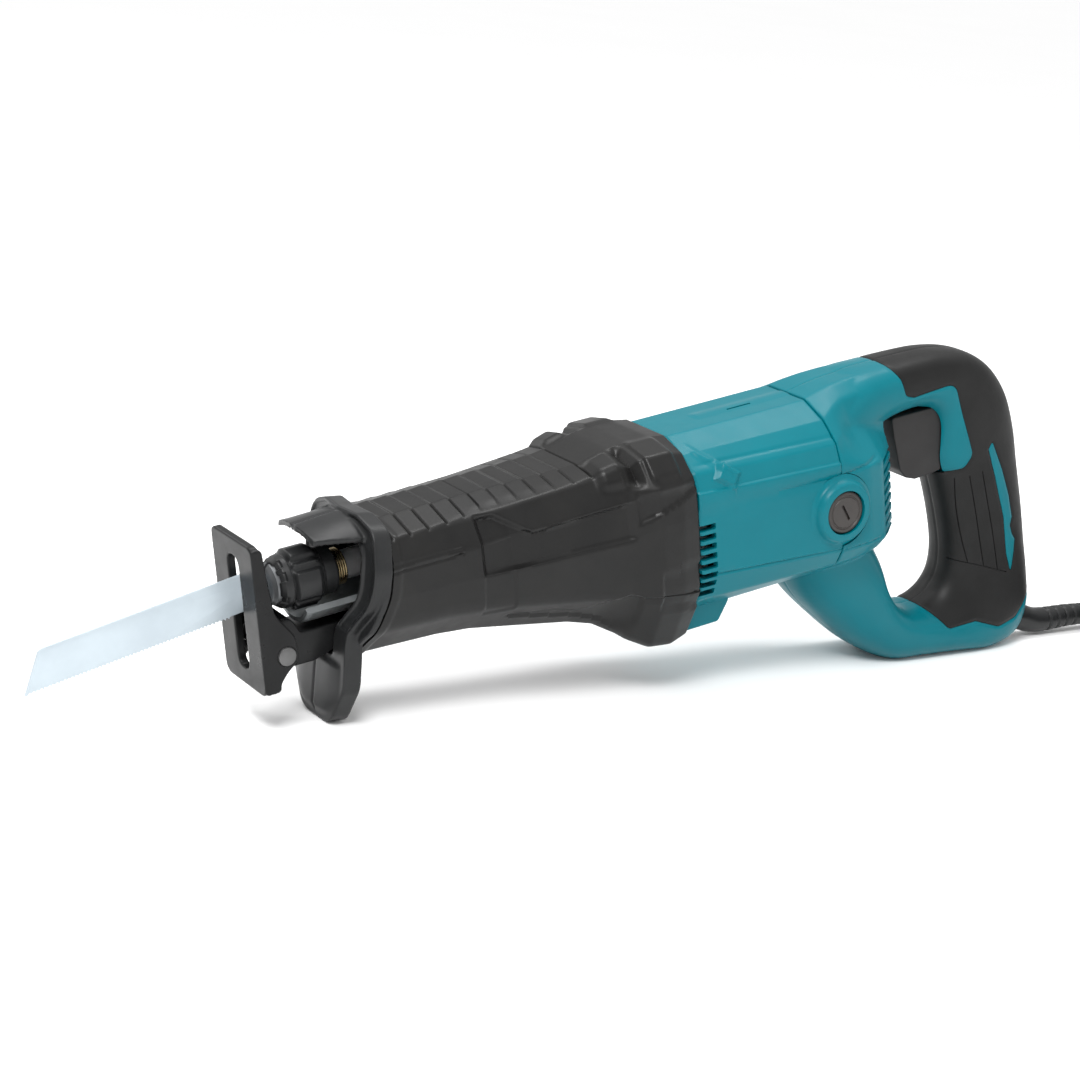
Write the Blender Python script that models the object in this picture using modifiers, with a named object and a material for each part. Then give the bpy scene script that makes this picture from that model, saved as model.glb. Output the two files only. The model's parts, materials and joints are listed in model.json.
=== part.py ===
"""Corded reciprocating saw, modelled as the assembly that it is on a bench.

Every sub-part is laid out in the tool's own frame, in millimetres:
    X runs along the stroke axis from the shoe's front face (0) back to the handle,
    Y is across the tool, its left side being -Y, and Z is up from the stroke axis.
The empty saw_frame carries that frame and is tipped nose-down, so that the saw stands on
the guard's chin and on the foot of its handle, with the origin under the middle of its box.
The mains lead lies on the ground and is laid out in the ground's own frame.
"""
import math

import bmesh
import bpy
from mathutils import Matrix, Vector

MM = 0.001
GAP = 0.3                       # clearance between pieces that touch
SIDES = (("left", -1), ("right", 1))

# How the saw stands
CHIN_POINT = (42.0, -71.0)      # lowest point of the guard's chin, x and z
FOOT_POINT = (421.0, -140.6)    # lowest point of the handle
TILT = math.atan2(CHIN_POINT[1] - FOOT_POINT[1], FOOT_POINT[0] - CHIN_POINT[0])
GROUND_LEVEL = FOOT_POINT[0] * math.sin(TILT) + FOOT_POINT[1] * math.cos(TILT)

# Blade drive
STROKE = 28.0
STROKE_BACK = 18.0              # how far the rod can still travel back from this pose
CRANK_X = 189.0                 # vertical crank axis
CRANK_RADIUS = STROKE / 2
ROD_RADIUS = 6.8
GEAR_TEETH = 48
PINION_TEETH = 6
PINION_PITCH_RADIUS = 3.375
GEAR_PITCH_RADIUS = PINION_PITCH_RADIUS * GEAR_TEETH / PINION_TEETH
MOTOR_Z = -24.0                 # armature axis below the stroke axis
BRUSH_X = 303.0                 # carbon brushes and their screw caps

# Blade
BLADE_CANT = math.radians(5.5)  # the blade droops from the stroke axis towards its tip
BLADE_THICK = 1.3
BLADE_TOP = 8.0
BLADE_DEEP = 18.5
BLADE_REACH = 104.0
TOOTH_PITCH = 2.6
TOOTH_DEPTH = 1.0

# Hand guard: where its flange starts and ends along the ground
GUARD_FRONT = 43.8
GUARD_BACK = 53.0

# Shoe
PLATE_THICK = 4.0
SHOE_HALF = 21.0
PIN_X = 12.0
PIN_Z = -27.0
PIN_RADIUS = 4.5
BRACKET_HALF = 11.0
BUTTON_X = 88.0                 # release button for the shoe's arm, under the boot
BUTTON_RADIUS = 6.0

# Body seams along X
BOOT_START = 46.0
NOSE_START = 69.5               # front face of the gear housing, inside the boot
BOOT_END = 221.0
HANDLE_START = 304.0
BOOT_WALL = 3.2
HOUSING_INSET = 4.0             # how far the gear housing lies inside the boot's surface

# Body cross-sections from front to back:
# x, half width, half width of the flat top, top, upper and lower shoulder, half width of
# the flat bottom, bottom
BOOT_SECTIONS = (
    (BOOT_START, 33.0, 12.0, 22.0, 5.0, -22.0, 15.0, -38.5),
    (90.0, 33.5, 12.0, 22.5, 5.0, -24.0, 15.0, -40.5),
    (128.0, 34.5, 13.0, 22.8, 5.0, -27.0, 17.0, -46.0),
    (158.0, 36.0, 14.0, 23.0, 6.0, -31.0, 20.0, -50.0),
    (176.0, 38.0, 16.0, 24.0, 8.0, -36.0, 23.0, -57.0),
    (190.0, 40.5, 17.0, 27.0, 9.0, -42.0, 26.0, -67.0),
    (204.0, 43.0, 17.0, 28.5, 10.0, -46.0, 27.0, -74.0),
    (215.0, 43.5, 17.0, 28.5, 10.0, -46.0, 27.0, -75.0),
    (BOOT_END, 43.0, 17.0, 27.0, 10.0, -46.0, 26.0, -73.5),
)
HOUSING_SECTIONS = (
    (BOOT_END + GAP, 42.0, 16.0, 26.0, 4.0, -46.0, 22.0, -64.0),
    (265.0, 43.5, 16.0, 26.0, 4.0, -46.0, 22.0, -64.0),
    (HANDLE_START - GAP, 44.0, 16.0, 26.0, 2.0, -46.0, 22.0, -64.0),
)
REAR_SECTIONS = (
    (HANDLE_START, 44.0, 16.0, 27.0, 2.0, -46.0, 22.0, -64.5),
    (322.0, 43.5, 16.0, 29.0, 0.0, -46.0, 20.0, -64.5),
    (338.0, 39.0, 15.0, 28.0, -2.0, -46.0, 20.0, -64.5),
    (347.0, 31.0, 13.0, 24.0, -4.0, -46.0, 18.0, -63.0),
    (350.0, 25.0, 12.0, 20.0, -6.0, -46.0, 16.0, -60.0),
)

# The handle's loop, as stations of an outer point, an inner point (x, z) and a half width
HANDLE_STATIONS = (
    ((322, 27.0), (326, -18.0), 26.0),
    ((338, 31.0), (342, -6.0), 22.5),
    ((354, 31.5), (355, 1.0), 20.0),
    ((374, 31.5), (372, 3.5), 19.0),
    ((394, 30.5), (383, 2.0), 18.5),
    ((412, 26.0), (389, -3.0), 18.5),
    ((427, 16.0), (391, -10.0), 18.5),
    ((438, 0.0), (390, -19.0), 18.5),
    ((444, -20.0), (389, -29.0), 18.2),
    ((447, -42.0), (393, -43.0), 17.5),
    ((450, -64.0), (397, -62.0), 17.2),
    ((452, -86.0), (399, -80.0), 17.4),
    ((454, -107.0), (397, -93.0), 18.0),
    ((454, -124.0), (391, -101.0), 18.8),
    ((446, -138.5), (383, -105.0), 19.5),
    ((427, -142.6), (376, -106.0), 20.5),
    ((404, -138.4), (370, -105.0), 21.5),
    ((378, -133.7), (364, -102.0), 22.5),
    ((356, -129.8), (358, -95.0), 23.5),
    ((338, -118.5), (353, -84.0), 24.5),
    ((320, -101.0), (349, -68.0), 25.5),
    ((303, -81.0), (338, -48.0), 27.0),
    ((294, -62.0), (324, -38.0), 28.0),
)
OVERMOULD_SKIN = 2.0
HANDLE_WALL = 3.0
# The region of the side view that the soft overmould covers: x, z and corner radius
OVERMOULD_OUTLINE = (
    (350, 45, 0), (360, 31, 6), (365, 14, 4), (398, 15, 6), (407, -31, 4), (376, -38, 0),
    (372, -75, 0), (369, -97, 0), (384, -108, 6), (394, -121, 6), (430, -128, 8), (470, -98, 0),
    (470, 45, 0),
)

# Trigger
TRIGGER_HALF = 10.8
TRIGGER_TRAVEL = 7.0

# Handle screws: where they cross the tool, x and z, and the half length of their posts
HANDLE_SCREWS = ((366.0, 17.0, 15.5), (424.0, -50.0, 13.8), (428.0, -98.0, 14.0),
                 (350.0, -104.0, 21.0))

# Mains lead: its guard leaves the handle's rear foot, dipping towards the ground
GUARD_START = (441.0, 0.0, -129.5)
GUARD_DIP = math.radians(14)
GUARD_RADII = (7.6, 5.7)
CORD_RADIUS = 3.9
COIL_MEAN_RADIUS = 44.0
COIL_WIDE = 3                   # turns beside each other
COIL_LAYERS = 4                 # turns on each other
COIL_LIFT = 1.4                 # the tie passes under the coil
TIE_HALF = 6.0
TIE_THICK = 1.0
PLUG_HALF_THICK = 10.0
PLUG_AHEAD = 50.0               # from the coil's middle forward to the plug's cable end

FINISHES = {                    # base colour, roughness, metallic
    "teal": ((0.0, 0.205, 0.245), 0.38, 0.0),
    "rubber": ((0.022, 0.022, 0.024), 0.62, 0.0),
    "dark_plastic": ((0.02, 0.02, 0.021), 0.45, 0.0),
    "cap_plastic": ((0.055, 0.045, 0.040), 0.50, 0.0),
    "black_steel": ((0.016, 0.017, 0.018), 0.34, 0.7),
    "steel": ((0.56, 0.56, 0.57), 0.30, 1.0),
    "blade_steel": ((0.82, 0.84, 0.86), 0.36, 0.9),
    "cast_alloy": ((0.60, 0.61, 0.63), 0.50, 1.0),
    "bronze": ((0.50, 0.34, 0.16), 0.42, 1.0),
    "spring_wire": ((0.52, 0.42, 0.24), 0.32, 1.0),
    "laminations": ((0.20, 0.20, 0.21), 0.55, 0.8),
    "copper": ((0.72, 0.33, 0.18), 0.40, 1.0),
    "carbon": ((0.03, 0.03, 0.03), 0.70, 0.0),
}


# ---------------------------------------------------------------- collections and frames

def clear_scene():
    for obj in list(bpy.data.objects):
        bpy.data.objects.remove(obj, do_unlink=True)


def new_collection(name):
    group = bpy.data.collections.new(name)
    bpy.context.scene.collection.children.link(group)
    return group


def new_frame(name, at=(0, 0, 0), turn=(0, 0, 0), parent=None):
    """An empty that carries pieces; at is in millimetres in its parent's frame."""
    empty = bpy.data.objects.new(name, None)
    empty.empty_display_size = 0.02
    empty.location = Vector(at) * MM
    empty.rotation_euler = turn
    empty.parent = parent
    PARTS.objects.link(empty)
    return empty


def finish(obj, key):
    colour, roughness, metallic = FINISHES[key]
    material = bpy.data.materials.new(obj.name + "_" + key)
    material.use_nodes = True
    shader = material.node_tree.nodes["Principled BSDF"]
    shader.inputs["Base Color"].default_value = (*colour, 1.0)
    shader.inputs["Roughness"].default_value = roughness
    shader.inputs["Metallic"].default_value = metallic
    obj.data.materials.append(material)


def keep(obj, key, parent):
    """Files a solid as a part with a finish, or as a cutter when key is None."""
    obj.parent = parent
    if key is None:
        CUTTERS.objects.link(obj)
        obj.hide_render = True
        obj.display_type = "WIRE"
    else:
        PARTS.objects.link(obj)
        finish(obj, key)
        obj.data.shade_smooth()
        if obj.data.polygons:
            obj.data.set_sharp_from_angle(angle=math.radians(35))
    return obj


# ---------------------------------------------------------------- shapes

def from_bmesh(name, bm, key, parent, at=(0, 0, 0), turn=(0, 0, 0)):
    """Makes an object of a bmesh that is drawn in millimetres."""
    bmesh.ops.scale(bm, vec=(MM, MM, MM), verts=bm.verts)
    bmesh.ops.recalc_face_normals(bm, faces=bm.faces)
    mesh = bpy.data.meshes.new(name)
    bm.to_mesh(mesh)
    bm.free()
    obj = bpy.data.objects.new(name, mesh)
    obj.location = Vector(at) * MM
    obj.rotation_euler = turn
    return keep(obj, key, parent)


def block(name, low, high, key, parent, bevel=0.0):
    """A box between two corners, with its edges rounded by bevel."""
    bm = bmesh.new()
    bmesh.ops.create_cube(bm, size=1.0)
    size = [b - a for a, b in zip(low, high)]
    bmesh.ops.scale(bm, vec=size, verts=bm.verts)
    middle = [(a + b) / 2 for a, b in zip(low, high)]
    obj = from_bmesh(name, bm, key, parent, at=middle)
    if bevel:
        round_edges(obj, bevel)
    return obj


def round_edges(obj, width, segments=1, angle=40):
    mod = obj.modifiers.new("rounding", "BEVEL")
    mod.width = width * MM
    mod.segments = segments
    mod.limit_method = "ANGLE"
    mod.angle_limit = math.radians(angle)


TURN_TO = {"z": (0, 0, 0), "x": (0, math.pi / 2, 0), "y": (-math.pi / 2, 0, 0)}


def turned(name, profile, axis, key, parent, at=(0, 0, 0), steps=18, ring=False):
    """A solid of revolution. profile lists (radius, height) down its outer side; height
    runs along the axis. A ring's profile closes on itself away from the axis."""
    count = len(profile)
    edges = [(i, i + 1) for i in range(count - 1)]
    if ring:
        edges.append((count - 1, 0))
    mesh = bpy.data.meshes.new(name)
    mesh.from_pydata([(r * MM, 0, h * MM) for r, h in profile], edges, [])
    obj = bpy.data.objects.new(name, mesh)
    obj.location = Vector(at) * MM
    obj.rotation_euler = TURN_TO[axis]
    screw = obj.modifiers.new("turning", "SCREW")
    screw.angle = 2 * math.pi
    screw.steps = steps
    screw.render_steps = steps
    screw.use_merge_vertices = True
    screw.merge_threshold = 0.00001
    screw.use_smooth_shade = True
    return keep(obj, key, parent)


def rod_shape(name, radius, start, end, axis, key, parent, at=(0, 0, 0), steps=18, chamfer=0.0):
    """A plain cylinder between two heights on its axis, its ends chamfered."""
    c = chamfer
    profile = [(0, end), (radius - c, end), (radius, end - c),
               (radius, start + c), (radius - c, start), (0, start)]
    if not c:
        profile = [(0, end), (radius, end), (radius, start), (0, start)]
    return turned(name, profile, axis, key, parent, at, steps)


def ring_shape(name, inner, outer, start, end, axis, key, parent, at=(0, 0, 0), steps=16):
    profile = [(inner, end), (outer, end), (outer, start), (inner, start)]
    return turned(name, profile, axis, key, parent, at, steps, ring=True)


def arc(centre, radius, start, end, count):
    """Points on an arc, angles in degrees."""
    points = []
    for i in range(count):
        a = math.radians(start + (end - start) * i / (count - 1))
        points.append((centre[0] + radius * math.cos(a), centre[1] + radius * math.sin(a)))
    return points


def rounded(corners, steps=2):
    """An outline of (u, v, radius) corners, each radius drawn as a short arc."""
    points = []
    count = len(corners)
    for i, (u, v, radius) in enumerate(corners):
        here = Vector((u, v))
        if radius <= 0:
            points.append((u, v))
            continue
        before = Vector(corners[i - 1][:2]) - here
        after = Vector(corners[(i + 1) % count][:2]) - here
        half = before.angle(after) / 2
        reach = min(radius / math.tan(half), before.length * 0.49, after.length * 0.49)
        first = here + before.normalized() * reach
        last = here + after.normalized() * reach
        for k in range(steps + 1):
            t = k / steps
            bend = first * (1 - t) ** 2 + here * 2 * t * (1 - t) + last * t ** 2
            points.append((bend.x, bend.y))
    return points


def grown(outline, by):
    """The outline moved outwards by a distance."""
    count = len(outline)
    area = sum(outline[i - 1][0] * outline[i][1] - outline[i][0] * outline[i - 1][1]
               for i in range(count))
    way = math.copysign(by, area)
    moved = []
    for i, here in enumerate(outline):
        before = (Vector(here) - Vector(outline[i - 1])).normalized()
        after = (Vector(outline[(i + 1) % count]) - Vector(here)).normalized()
        across = Vector((before.y + after.y, -before.x - after.x)).normalized()
        moved.append(tuple(Vector(here) + across * way / max(0.5, across.dot((after.y, -after.x)))))
    return moved


PLANES = {"xz": (math.pi / 2, 0, 0), "yz": (math.pi / 2, 0, math.pi / 2), "xy": (0, 0, 0)}


def slab(name, outlines, plane, start, end, key, parent):
    """A flat outline, with any holes after it, given a thickness across its plane."""
    curve = bpy.data.curves.new(name, "CURVE")
    curve.dimensions = "2D"
    curve.fill_mode = "BOTH"
    curve.extrude = abs(end - start) / 2 * MM
    for outline in outlines:
        spline = curve.splines.new("POLY")
        spline.points.add(len(outline) - 1)
        for point, (u, v) in zip(spline.points, outline):
            point.co = (u * MM, v * MM, 0, 1)
        spline.use_cyclic_u = True
    drawn = bpy.data.objects.new(name + "_outline", curve)
    across = (start + end) / 2 * MM
    drawn.location = {"xz": (0, across, 0), "yz": (across, 0, 0), "xy": (0, 0, across)}[plane]
    drawn.rotation_euler = PLANES[plane]
    return keep(as_mesh(name, drawn), key, parent)


def as_mesh(name, drawn):
    """Turns a curve object into a welded mesh object in the same place."""
    bpy.context.scene.collection.objects.link(drawn)
    graph = bpy.context.evaluated_depsgraph_get()
    mesh = bpy.data.meshes.new_from_object(drawn.evaluated_get(graph))
    bm = bmesh.new()
    bm.from_mesh(mesh)
    bmesh.ops.remove_doubles(bm, verts=bm.verts, dist=0.000001)
    bmesh.ops.recalc_face_normals(bm, faces=bm.faces)
    bm.to_mesh(mesh)
    bm.free()
    mesh.name = name
    solid = bpy.data.objects.new(name, mesh)
    solid.matrix_world = drawn.matrix_world
    bpy.data.objects.remove(drawn, do_unlink=True)
    return solid


def loft(name, rings, key, parent, at=(0, 0, 0)):
    """A closed solid through rings of the same number of points."""
    bm = bmesh.new()
    loops = [[bm.verts.new(point) for point in ring] for ring in rings]
    for near, far in zip(loops, loops[1:]):
        for i in range(len(near)):
            j = (i + 1) % len(near)
            bm.faces.new((near[i], near[j], far[j], far[i]))
    bm.faces.new(loops[0])
    bm.faces.new(loops[-1])
    return from_bmesh(name, bm, key, parent, at=at)


def wire(name, points, radius, key, parent, resolution=2):
    """A round tube through points, in millimetres."""
    curve = bpy.data.curves.new(name, "CURVE")
    curve.dimensions = "3D"
    curve.bevel_depth = radius * MM
    curve.bevel_resolution = resolution
    curve.use_fill_caps = True
    spline = curve.splines.new("POLY")
    spline.points.add(len(points) - 1)
    for point, co in zip(spline.points, points):
        point.co = (co[0] * MM, co[1] * MM, co[2] * MM, 1)
    return keep(as_mesh(name, bpy.data.objects.new(name + "_line", curve)), key, parent)


def smooth_path(points, step):
    """Evenly spaced points on a smooth curve through the given ones."""
    knots = [Vector(p) for p in points]
    ends = [2 * knots[0] - knots[1]] + knots + [2 * knots[-1] - knots[-2]]
    fine = []
    for a, b, c, d in zip(ends, ends[1:], ends[2:], ends[3:]):
        for i in range(24):
            t = i / 24
            fine.append(0.5 * (2 * b + (c - a) * t + (2 * a - 5 * b + 4 * c - d) * t ** 2
                               + (3 * b - a - 3 * c + d) * t ** 3))
    fine.append(knots[-1])
    total = sum((q - p).length for p, q in zip(fine, fine[1:]))
    count = max(2, round(total / step))
    wanted = [total * i / count for i in range(1, count)]
    path = [fine[0]]
    gone = 0.0
    for p, q in zip(fine, fine[1:]):
        length = (q - p).length
        while wanted and gone + length >= wanted[0]:
            path.append(p.lerp(q, (wanted.pop(0) - gone) / length))
        gone += length
    path.append(fine[-1])
    return path


def subtract(obj, *cutters, solver="EXACT"):
    for cutter in cutters:
        boolean(obj, cutter, "DIFFERENCE", solver)


def boolean(obj, other, operation, solver="EXACT"):
    mod = obj.modifiers.new(operation.lower(), "BOOLEAN")
    mod.operation = operation
    mod.solver = solver
    mod.object = other


# ---------------------------------------------------------------- blade and its clamp

def make_blade(parent):
    """A fine-toothed metal blade, canted a little below the stroke axis; its shank is inside
    the clamp."""
    low = BLADE_TOP - BLADE_DEEP
    start = -BLADE_REACH
    outline = [(4.0, BLADE_TOP), (start + 13, BLADE_TOP), (start + 10, BLADE_TOP - 1), (start, low)]
    x = start + TOOTH_PITCH
    while x < -4.0:
        outline += [(x, low), (x + 0.4, low + TOOTH_DEPTH)]
        x += TOOTH_PITCH
    outline.append((4.0, low + TOOTH_DEPTH))
    c = math.cos(BLADE_CANT)
    s = math.sin(BLADE_CANT)
    canted = [(u * c - v * s, u * s + v * c) for u, v in outline]
    shank = [(16.0, -4.2), (36.0, -4.2), (36.0, 4.2), (16.0, 4.2)]
    half = BLADE_THICK / 2
    slab("blade", [canted + shank], "xz", -half, half, "blade_steel", parent)


def make_clamp(parent):
    """Steel clamp collar on the rod's end, with the slot that the blade's shank sits in."""
    body = turned("blade_clamp_body",
                  [(0, 40), (9.0, 40), (9.0, 19.5), (9.8, 18.8), (9.8, 15.5), (8.6, 14.5), (0, 14.5)],
                  "x", "steel", parent)
    half = BLADE_THICK / 2 + GAP
    slot = block("clamp_slot", (-5, -half, -13), (36 + GAP, half, 13), None, parent)
    subtract(body, slot)


def make_sleeve(parent):
    """The turning sleeve that opens the clamp: four broad lobes to hold it by."""
    rings = []
    for x, base, lobe in ((17.0, 10.6, 0.0), (19.5, 12.4, 0.5), (24.0, 12.8, 1.6),
                          (37.0, 12.8, 1.6), (39.0, 11.6, 0.6), (46.0, 11.4, 0.0)):
        ring = []
        for i in range(32):
            a = 2 * math.pi * (i + 0.5) / 32
            swell = max(0.0, math.cos(4 * a)) ** 0.5
            radius = base + lobe * swell
            ring.append((x, radius * math.cos(a), radius * math.sin(a)))
        rings.append(ring)
    sleeve = loft("clamp_sleeve", rings, "dark_plastic", parent)
    bore = turned("sleeve_bore", [(0, 60), (9.3, 60), (9.3, 20.2), (10.1, 20.2), (10.1, 0), (0, 0)],
                  "x", None, parent)
    subtract(sleeve, bore)


def make_clamp_spring(parent):
    """The torsion spring that turns the sleeve shut."""
    turns = 3.0
    count = 28
    points = []
    for i in range(count + 1):
        a = 2 * math.pi * turns * i / count
        x = 47.2 + 4.6 * i / count
        points.append((x, 8.2 * math.cos(a), 8.2 * math.sin(a)))
    return wire("clamp_spring", points, 0.6, "spring_wire", parent)


def make_rod(parent):
    """The ground rod that carries the clamp, and the slotted yoke on its rear end."""
    rest_x = CRANK_X - (STROKE_BACK - CRANK_RADIUS)
    rod_shape("reciprocating_rod", ROD_RADIUS, 40 + GAP, rest_x - 12 - GAP, "x", "steel", parent,
              chamfer=0.6)
    yoke = block("slider_yoke", (rest_x - 12, -23, -6.5), (rest_x + 12, 23, 7.5), "steel", parent,
                 bevel=1.0)
    track = block("yoke_track", (rest_x - 6.6, -20.5, -8), (rest_x + 6.6, 20.5, 5), None, parent)
    subtract(yoke, track)


# ---------------------------------------------------------------- crank gear and pinion

def gear_tooth_ring(radius, scale, flank_z):
    """Points round one edge of the crown gear's teeth: tips and roots by turns."""
    ring = []
    pitch = 2 * math.pi / GEAR_TEETH
    for i in range(GEAR_TEETH):
        for share, deep in ((-0.13, 1), (0.13, 1), (0.31, 0), (0.69, 0)):
            a = pitch * (i + share)
            z = flank_z - deep * 1.5 * scale
            ring.append((radius * math.cos(a), radius * math.sin(a), z))
    return ring


def make_crank_gear(parent):
    """Crown gear with its teeth facing down onto the pinion, its shaft and its crank pin."""
    root_z = MOTOR_Z + 4.5
    inner = GEAR_PITCH_RADIUS - 3.0
    outer = GEAR_PITCH_RADIUS + 3.0
    toothed_inner = gear_tooth_ring(inner, 0.9, root_z)
    toothed_outer = gear_tooth_ring(outer, 1.0, root_z)
    top = -12.0
    rings = [toothed_inner, toothed_outer, [(p[0], p[1], top) for p in toothed_outer]]
    gear = loft("crank_gear", rings, "steel", parent)
    shaft = rod_shape("crank_shaft_blank", 5.0, -49.2, root_z + 2, "z", None, parent)
    boolean(gear, shaft, "UNION")
    reach = -(STROKE_BACK - CRANK_RADIUS)
    side = math.sqrt(CRANK_RADIUS ** 2 - reach ** 2)
    rod_shape("crank_pin", 4.0, top - 4.0, -7.2, "z", "steel", parent, at=(reach, side, 0))
    socket = rod_shape("crank_pin_socket", 4.0 + GAP / 2, top - 4.0 - GAP, 0, "z", None, parent,
                       at=(reach, side, 0))
    subtract(gear, socket)
    ring_shape("crank_roller", 4.2, 6.2, top + GAP, -7.2, "z", "steel", parent, at=(reach, side, 0))


def make_gear_bearing(parent):
    ring_shape("crank_shaft_bearing", 5.2, 11.0, -49.2, -42.2, "z", "steel", parent,
               at=(CRANK_X, 0, 0))


def pinion_ring(x, scale):
    """Cross-section of the pinion: teeth as short flats, with a gap at the top."""
    ring = []
    pitch = 2 * math.pi / PINION_TEETH
    for i in range(PINION_TEETH):
        for share, radius in ((0.28, 2.55), (0.42, 4.05), (0.58, 4.05), (0.72, 2.55)):
            a = math.pi / 2 + pitch * (i + share)
            ring.append((x, radius * scale * math.cos(a), radius * scale * math.sin(a)))
    return ring


def make_armature(parent):
    """Armature shaft with its pinion cut on the nose, windings, commutator and fan."""
    near = CRANK_X + GEAR_PITCH_RADIUS - 3.0
    far = CRANK_X + GEAR_PITCH_RADIUS + 3.4
    small = (GEAR_PITCH_RADIUS - 3.0) / GEAR_PITCH_RADIUS
    shaft = loft("armature_shaft", [pinion_ring(near, small), pinion_ring(far, 1.0)], "steel", parent)
    barrel = turned("armature_shaft_blank",
                    [(0, 331), (3.0, 331), (3.0, 321.5), (4.0, 321), (4.0, far + 1), (2.4, far - 0.6),
                     (0, far - 0.6)], "x", None, parent)
    boolean(shaft, barrel, "UNION")
    turned("armature_windings",
           [(4.1, 288), (14, 288), (18, 285), (18, 281.5), (22, 281.5), (22, 252.5), (18, 252.5),
            (18, 249), (14, 246), (4.1, 246)], "x", "copper", parent, ring=True, steps=24)
    turned("commutator",
           [(4.1, 312), (13.5, 312), (13.5, 295.5), (15.5, 295.5), (15.5, 292.5), (4.1, 292.5)],
           "x", "copper", parent, ring=True)
    make_fan(parent)


def make_fan(parent):
    """Cooling fan: a hub disc with curved blades standing on its back."""
    fan = ring_shape("cooling_fan", 4.2, 32.5, 232.2, 234.2, "x", "dark_plastic", parent, steps=30)
    blades = 10
    for i in range(blades):
        a = 2 * math.pi * i / blades
        vane = block("fan_vane_%d" % i, (233.2, -0.7, 9.0), (240.0, 0.7, 31.5), None, parent)
        vane.location = Vector((236.6, -20.25 * math.sin(a), 20.25 * math.cos(a))) * MM
        vane.rotation_euler = (a, 0, 0)
        boolean(fan, vane, "UNION")


# ---------------------------------------------------------------- motor, standing parts

def make_motor_fixed(parent):
    """Field core, its coils, bearings, baffle, brush gear, all round the armature axis."""
    ring_shape("armature_bearing_front", 4.2, 11.0, 222.5, 229.5, "x", "steel", parent)
    ring_shape("armature_bearing_rear", 3.2, 9.5, 322, 328, "x", "steel", parent)
    ring_shape("baffle_plate", 19.0, 35.5, 241.2, 242.7, "x", "dark_plastic", parent, steps=30)
    outer = arc((0, 0), 35.5, 0, 350, 36)
    pocket = 62
    inner = []
    for side in (0, 180):
        inner += arc((0, 0), 22.9, side - 90 + pocket / 2, side + 90 - pocket / 2, 9)
        inner += arc((0, 0), 30.5, side + 90 - pocket / 2, side + 90 + pocket / 2, 5)
    slab("field_core", [outer, inner], "yz", 251, 283, "laminations", parent)
    for name, side in (("upper", 90), ("lower", 270)):
        half = pocket / 2 - 2
        coil = arc((0, 0), 30.0, side - half, side + half, 9)
        coil += arc((0, 0), 24.0, side + half, side - half, 9)
        slab("field_coil_" + name, [coil], "yz", 244.5, 290, "copper", parent)
    for name, side in SIDES:
        make_brush_gear(name, side, parent)


def make_brush_gear(name, side, parent):
    """Carbon brush in its brass holder, under a slotted screw cap."""
    low = (BRUSH_X - 4, side * 13.9, -3)
    high = (BRUSH_X + 4, side * 27, 3)
    block("carbon_brush_" + name, [min(a, b) for a, b in zip(low, high)],
          [max(a, b) for a, b in zip(low, high)], "carbon", parent)
    start, end = sorted((side * 16.5, side * 38.0))
    holder = block("brush_holder_" + name, (BRUSH_X - 6, start, -5), (BRUSH_X + 6, end, 5), "bronze",
                   parent)
    bore = block("brush_bore_" + name, (BRUSH_X - 4.3, min(0, side * 60), -3.3),
                 (BRUSH_X + 4.3, max(0, side * 60), 3.3), None, parent)
    subtract(holder, bore)
    profile = [(0, 47.6), (9.6, 47.6), (10.8, 46.6), (10.8, 43.2), (8.0, 43.0), (8.0, 38.6),
               (0, 38.6)]
    cap = turned("brush_cap_" + name, profile, "y", "cap_plastic", parent, at=(BRUSH_X, 0, 0))
    if side < 0:
        cap.rotation_euler = (math.pi / 2, 0, 0)
    slot = block("cap_slot_" + name, (BRUSH_X - 4.5, min(side * 46.2, side * 60), -0.7),
                 (BRUSH_X + 4.5, max(side * 46.2, side * 60), 0.7), None, parent)
    slot.rotation_euler = (0, math.radians(65), 0)
    subtract(cap, slot)


# ---------------------------------------------------------------- body shells

def body_ring(section, inset=0.0, x=None):
    """A body cross-section: flat top and bottom, sloping shoulders, upright sides."""
    at, half, top_half, top, upper, lower, bottom_half, bottom = section
    i = inset
    slope = 0.5 * i
    corners = [
        (-(top_half - slope), top - i, 10), (-(half - i), upper - slope, 12),
        (-(half - i), lower + slope, 12), (-(bottom_half - slope), bottom + i, 10),
        (bottom_half - slope, bottom + i, 10), (half - i, lower + slope, 12),
        (half - i, upper - slope, 12), (top_half - slope, top - i, 10),
    ]
    place = at if x is None else x
    return [(place, y, z) for y, z in rounded(corners)]


def body_loft(name, sections, key, parent, inset=0.0, start=None, end=None):
    rings = [body_ring(section, inset) for section in sections]
    if start is not None:
        rings[0] = body_ring(sections[0], inset, x=start)
    if end is not None:
        rings[-1] = body_ring(sections[-1], inset, x=end)
    return loft(name, rings, key, parent)


def make_boot(parent):
    """The rubber boot that wraps the gear housing, open at both ends."""
    boot = body_loft("boot", BOOT_SECTIONS, "rubber", parent)
    hollow = body_loft("boot_hollow", BOOT_SECTIONS, None, parent, BOOT_WALL,
                       start=BOOT_START - 1, end=BOOT_END + 1)
    button_way = rod_shape("button_way", BUTTON_RADIUS + 0.4, -60, -30, "z", None, parent,
                           at=(BUTTON_X, 0, 0))
    upright = new_frame("boot_front_frame", turn=(0, TILT, 0), parent=parent)
    front = block("boot_front_cut", (0, -60, -90), (GUARD_BACK + GAP, 60, 60), None, upright)
    subtract(boot, hollow, button_way, front)


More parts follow.
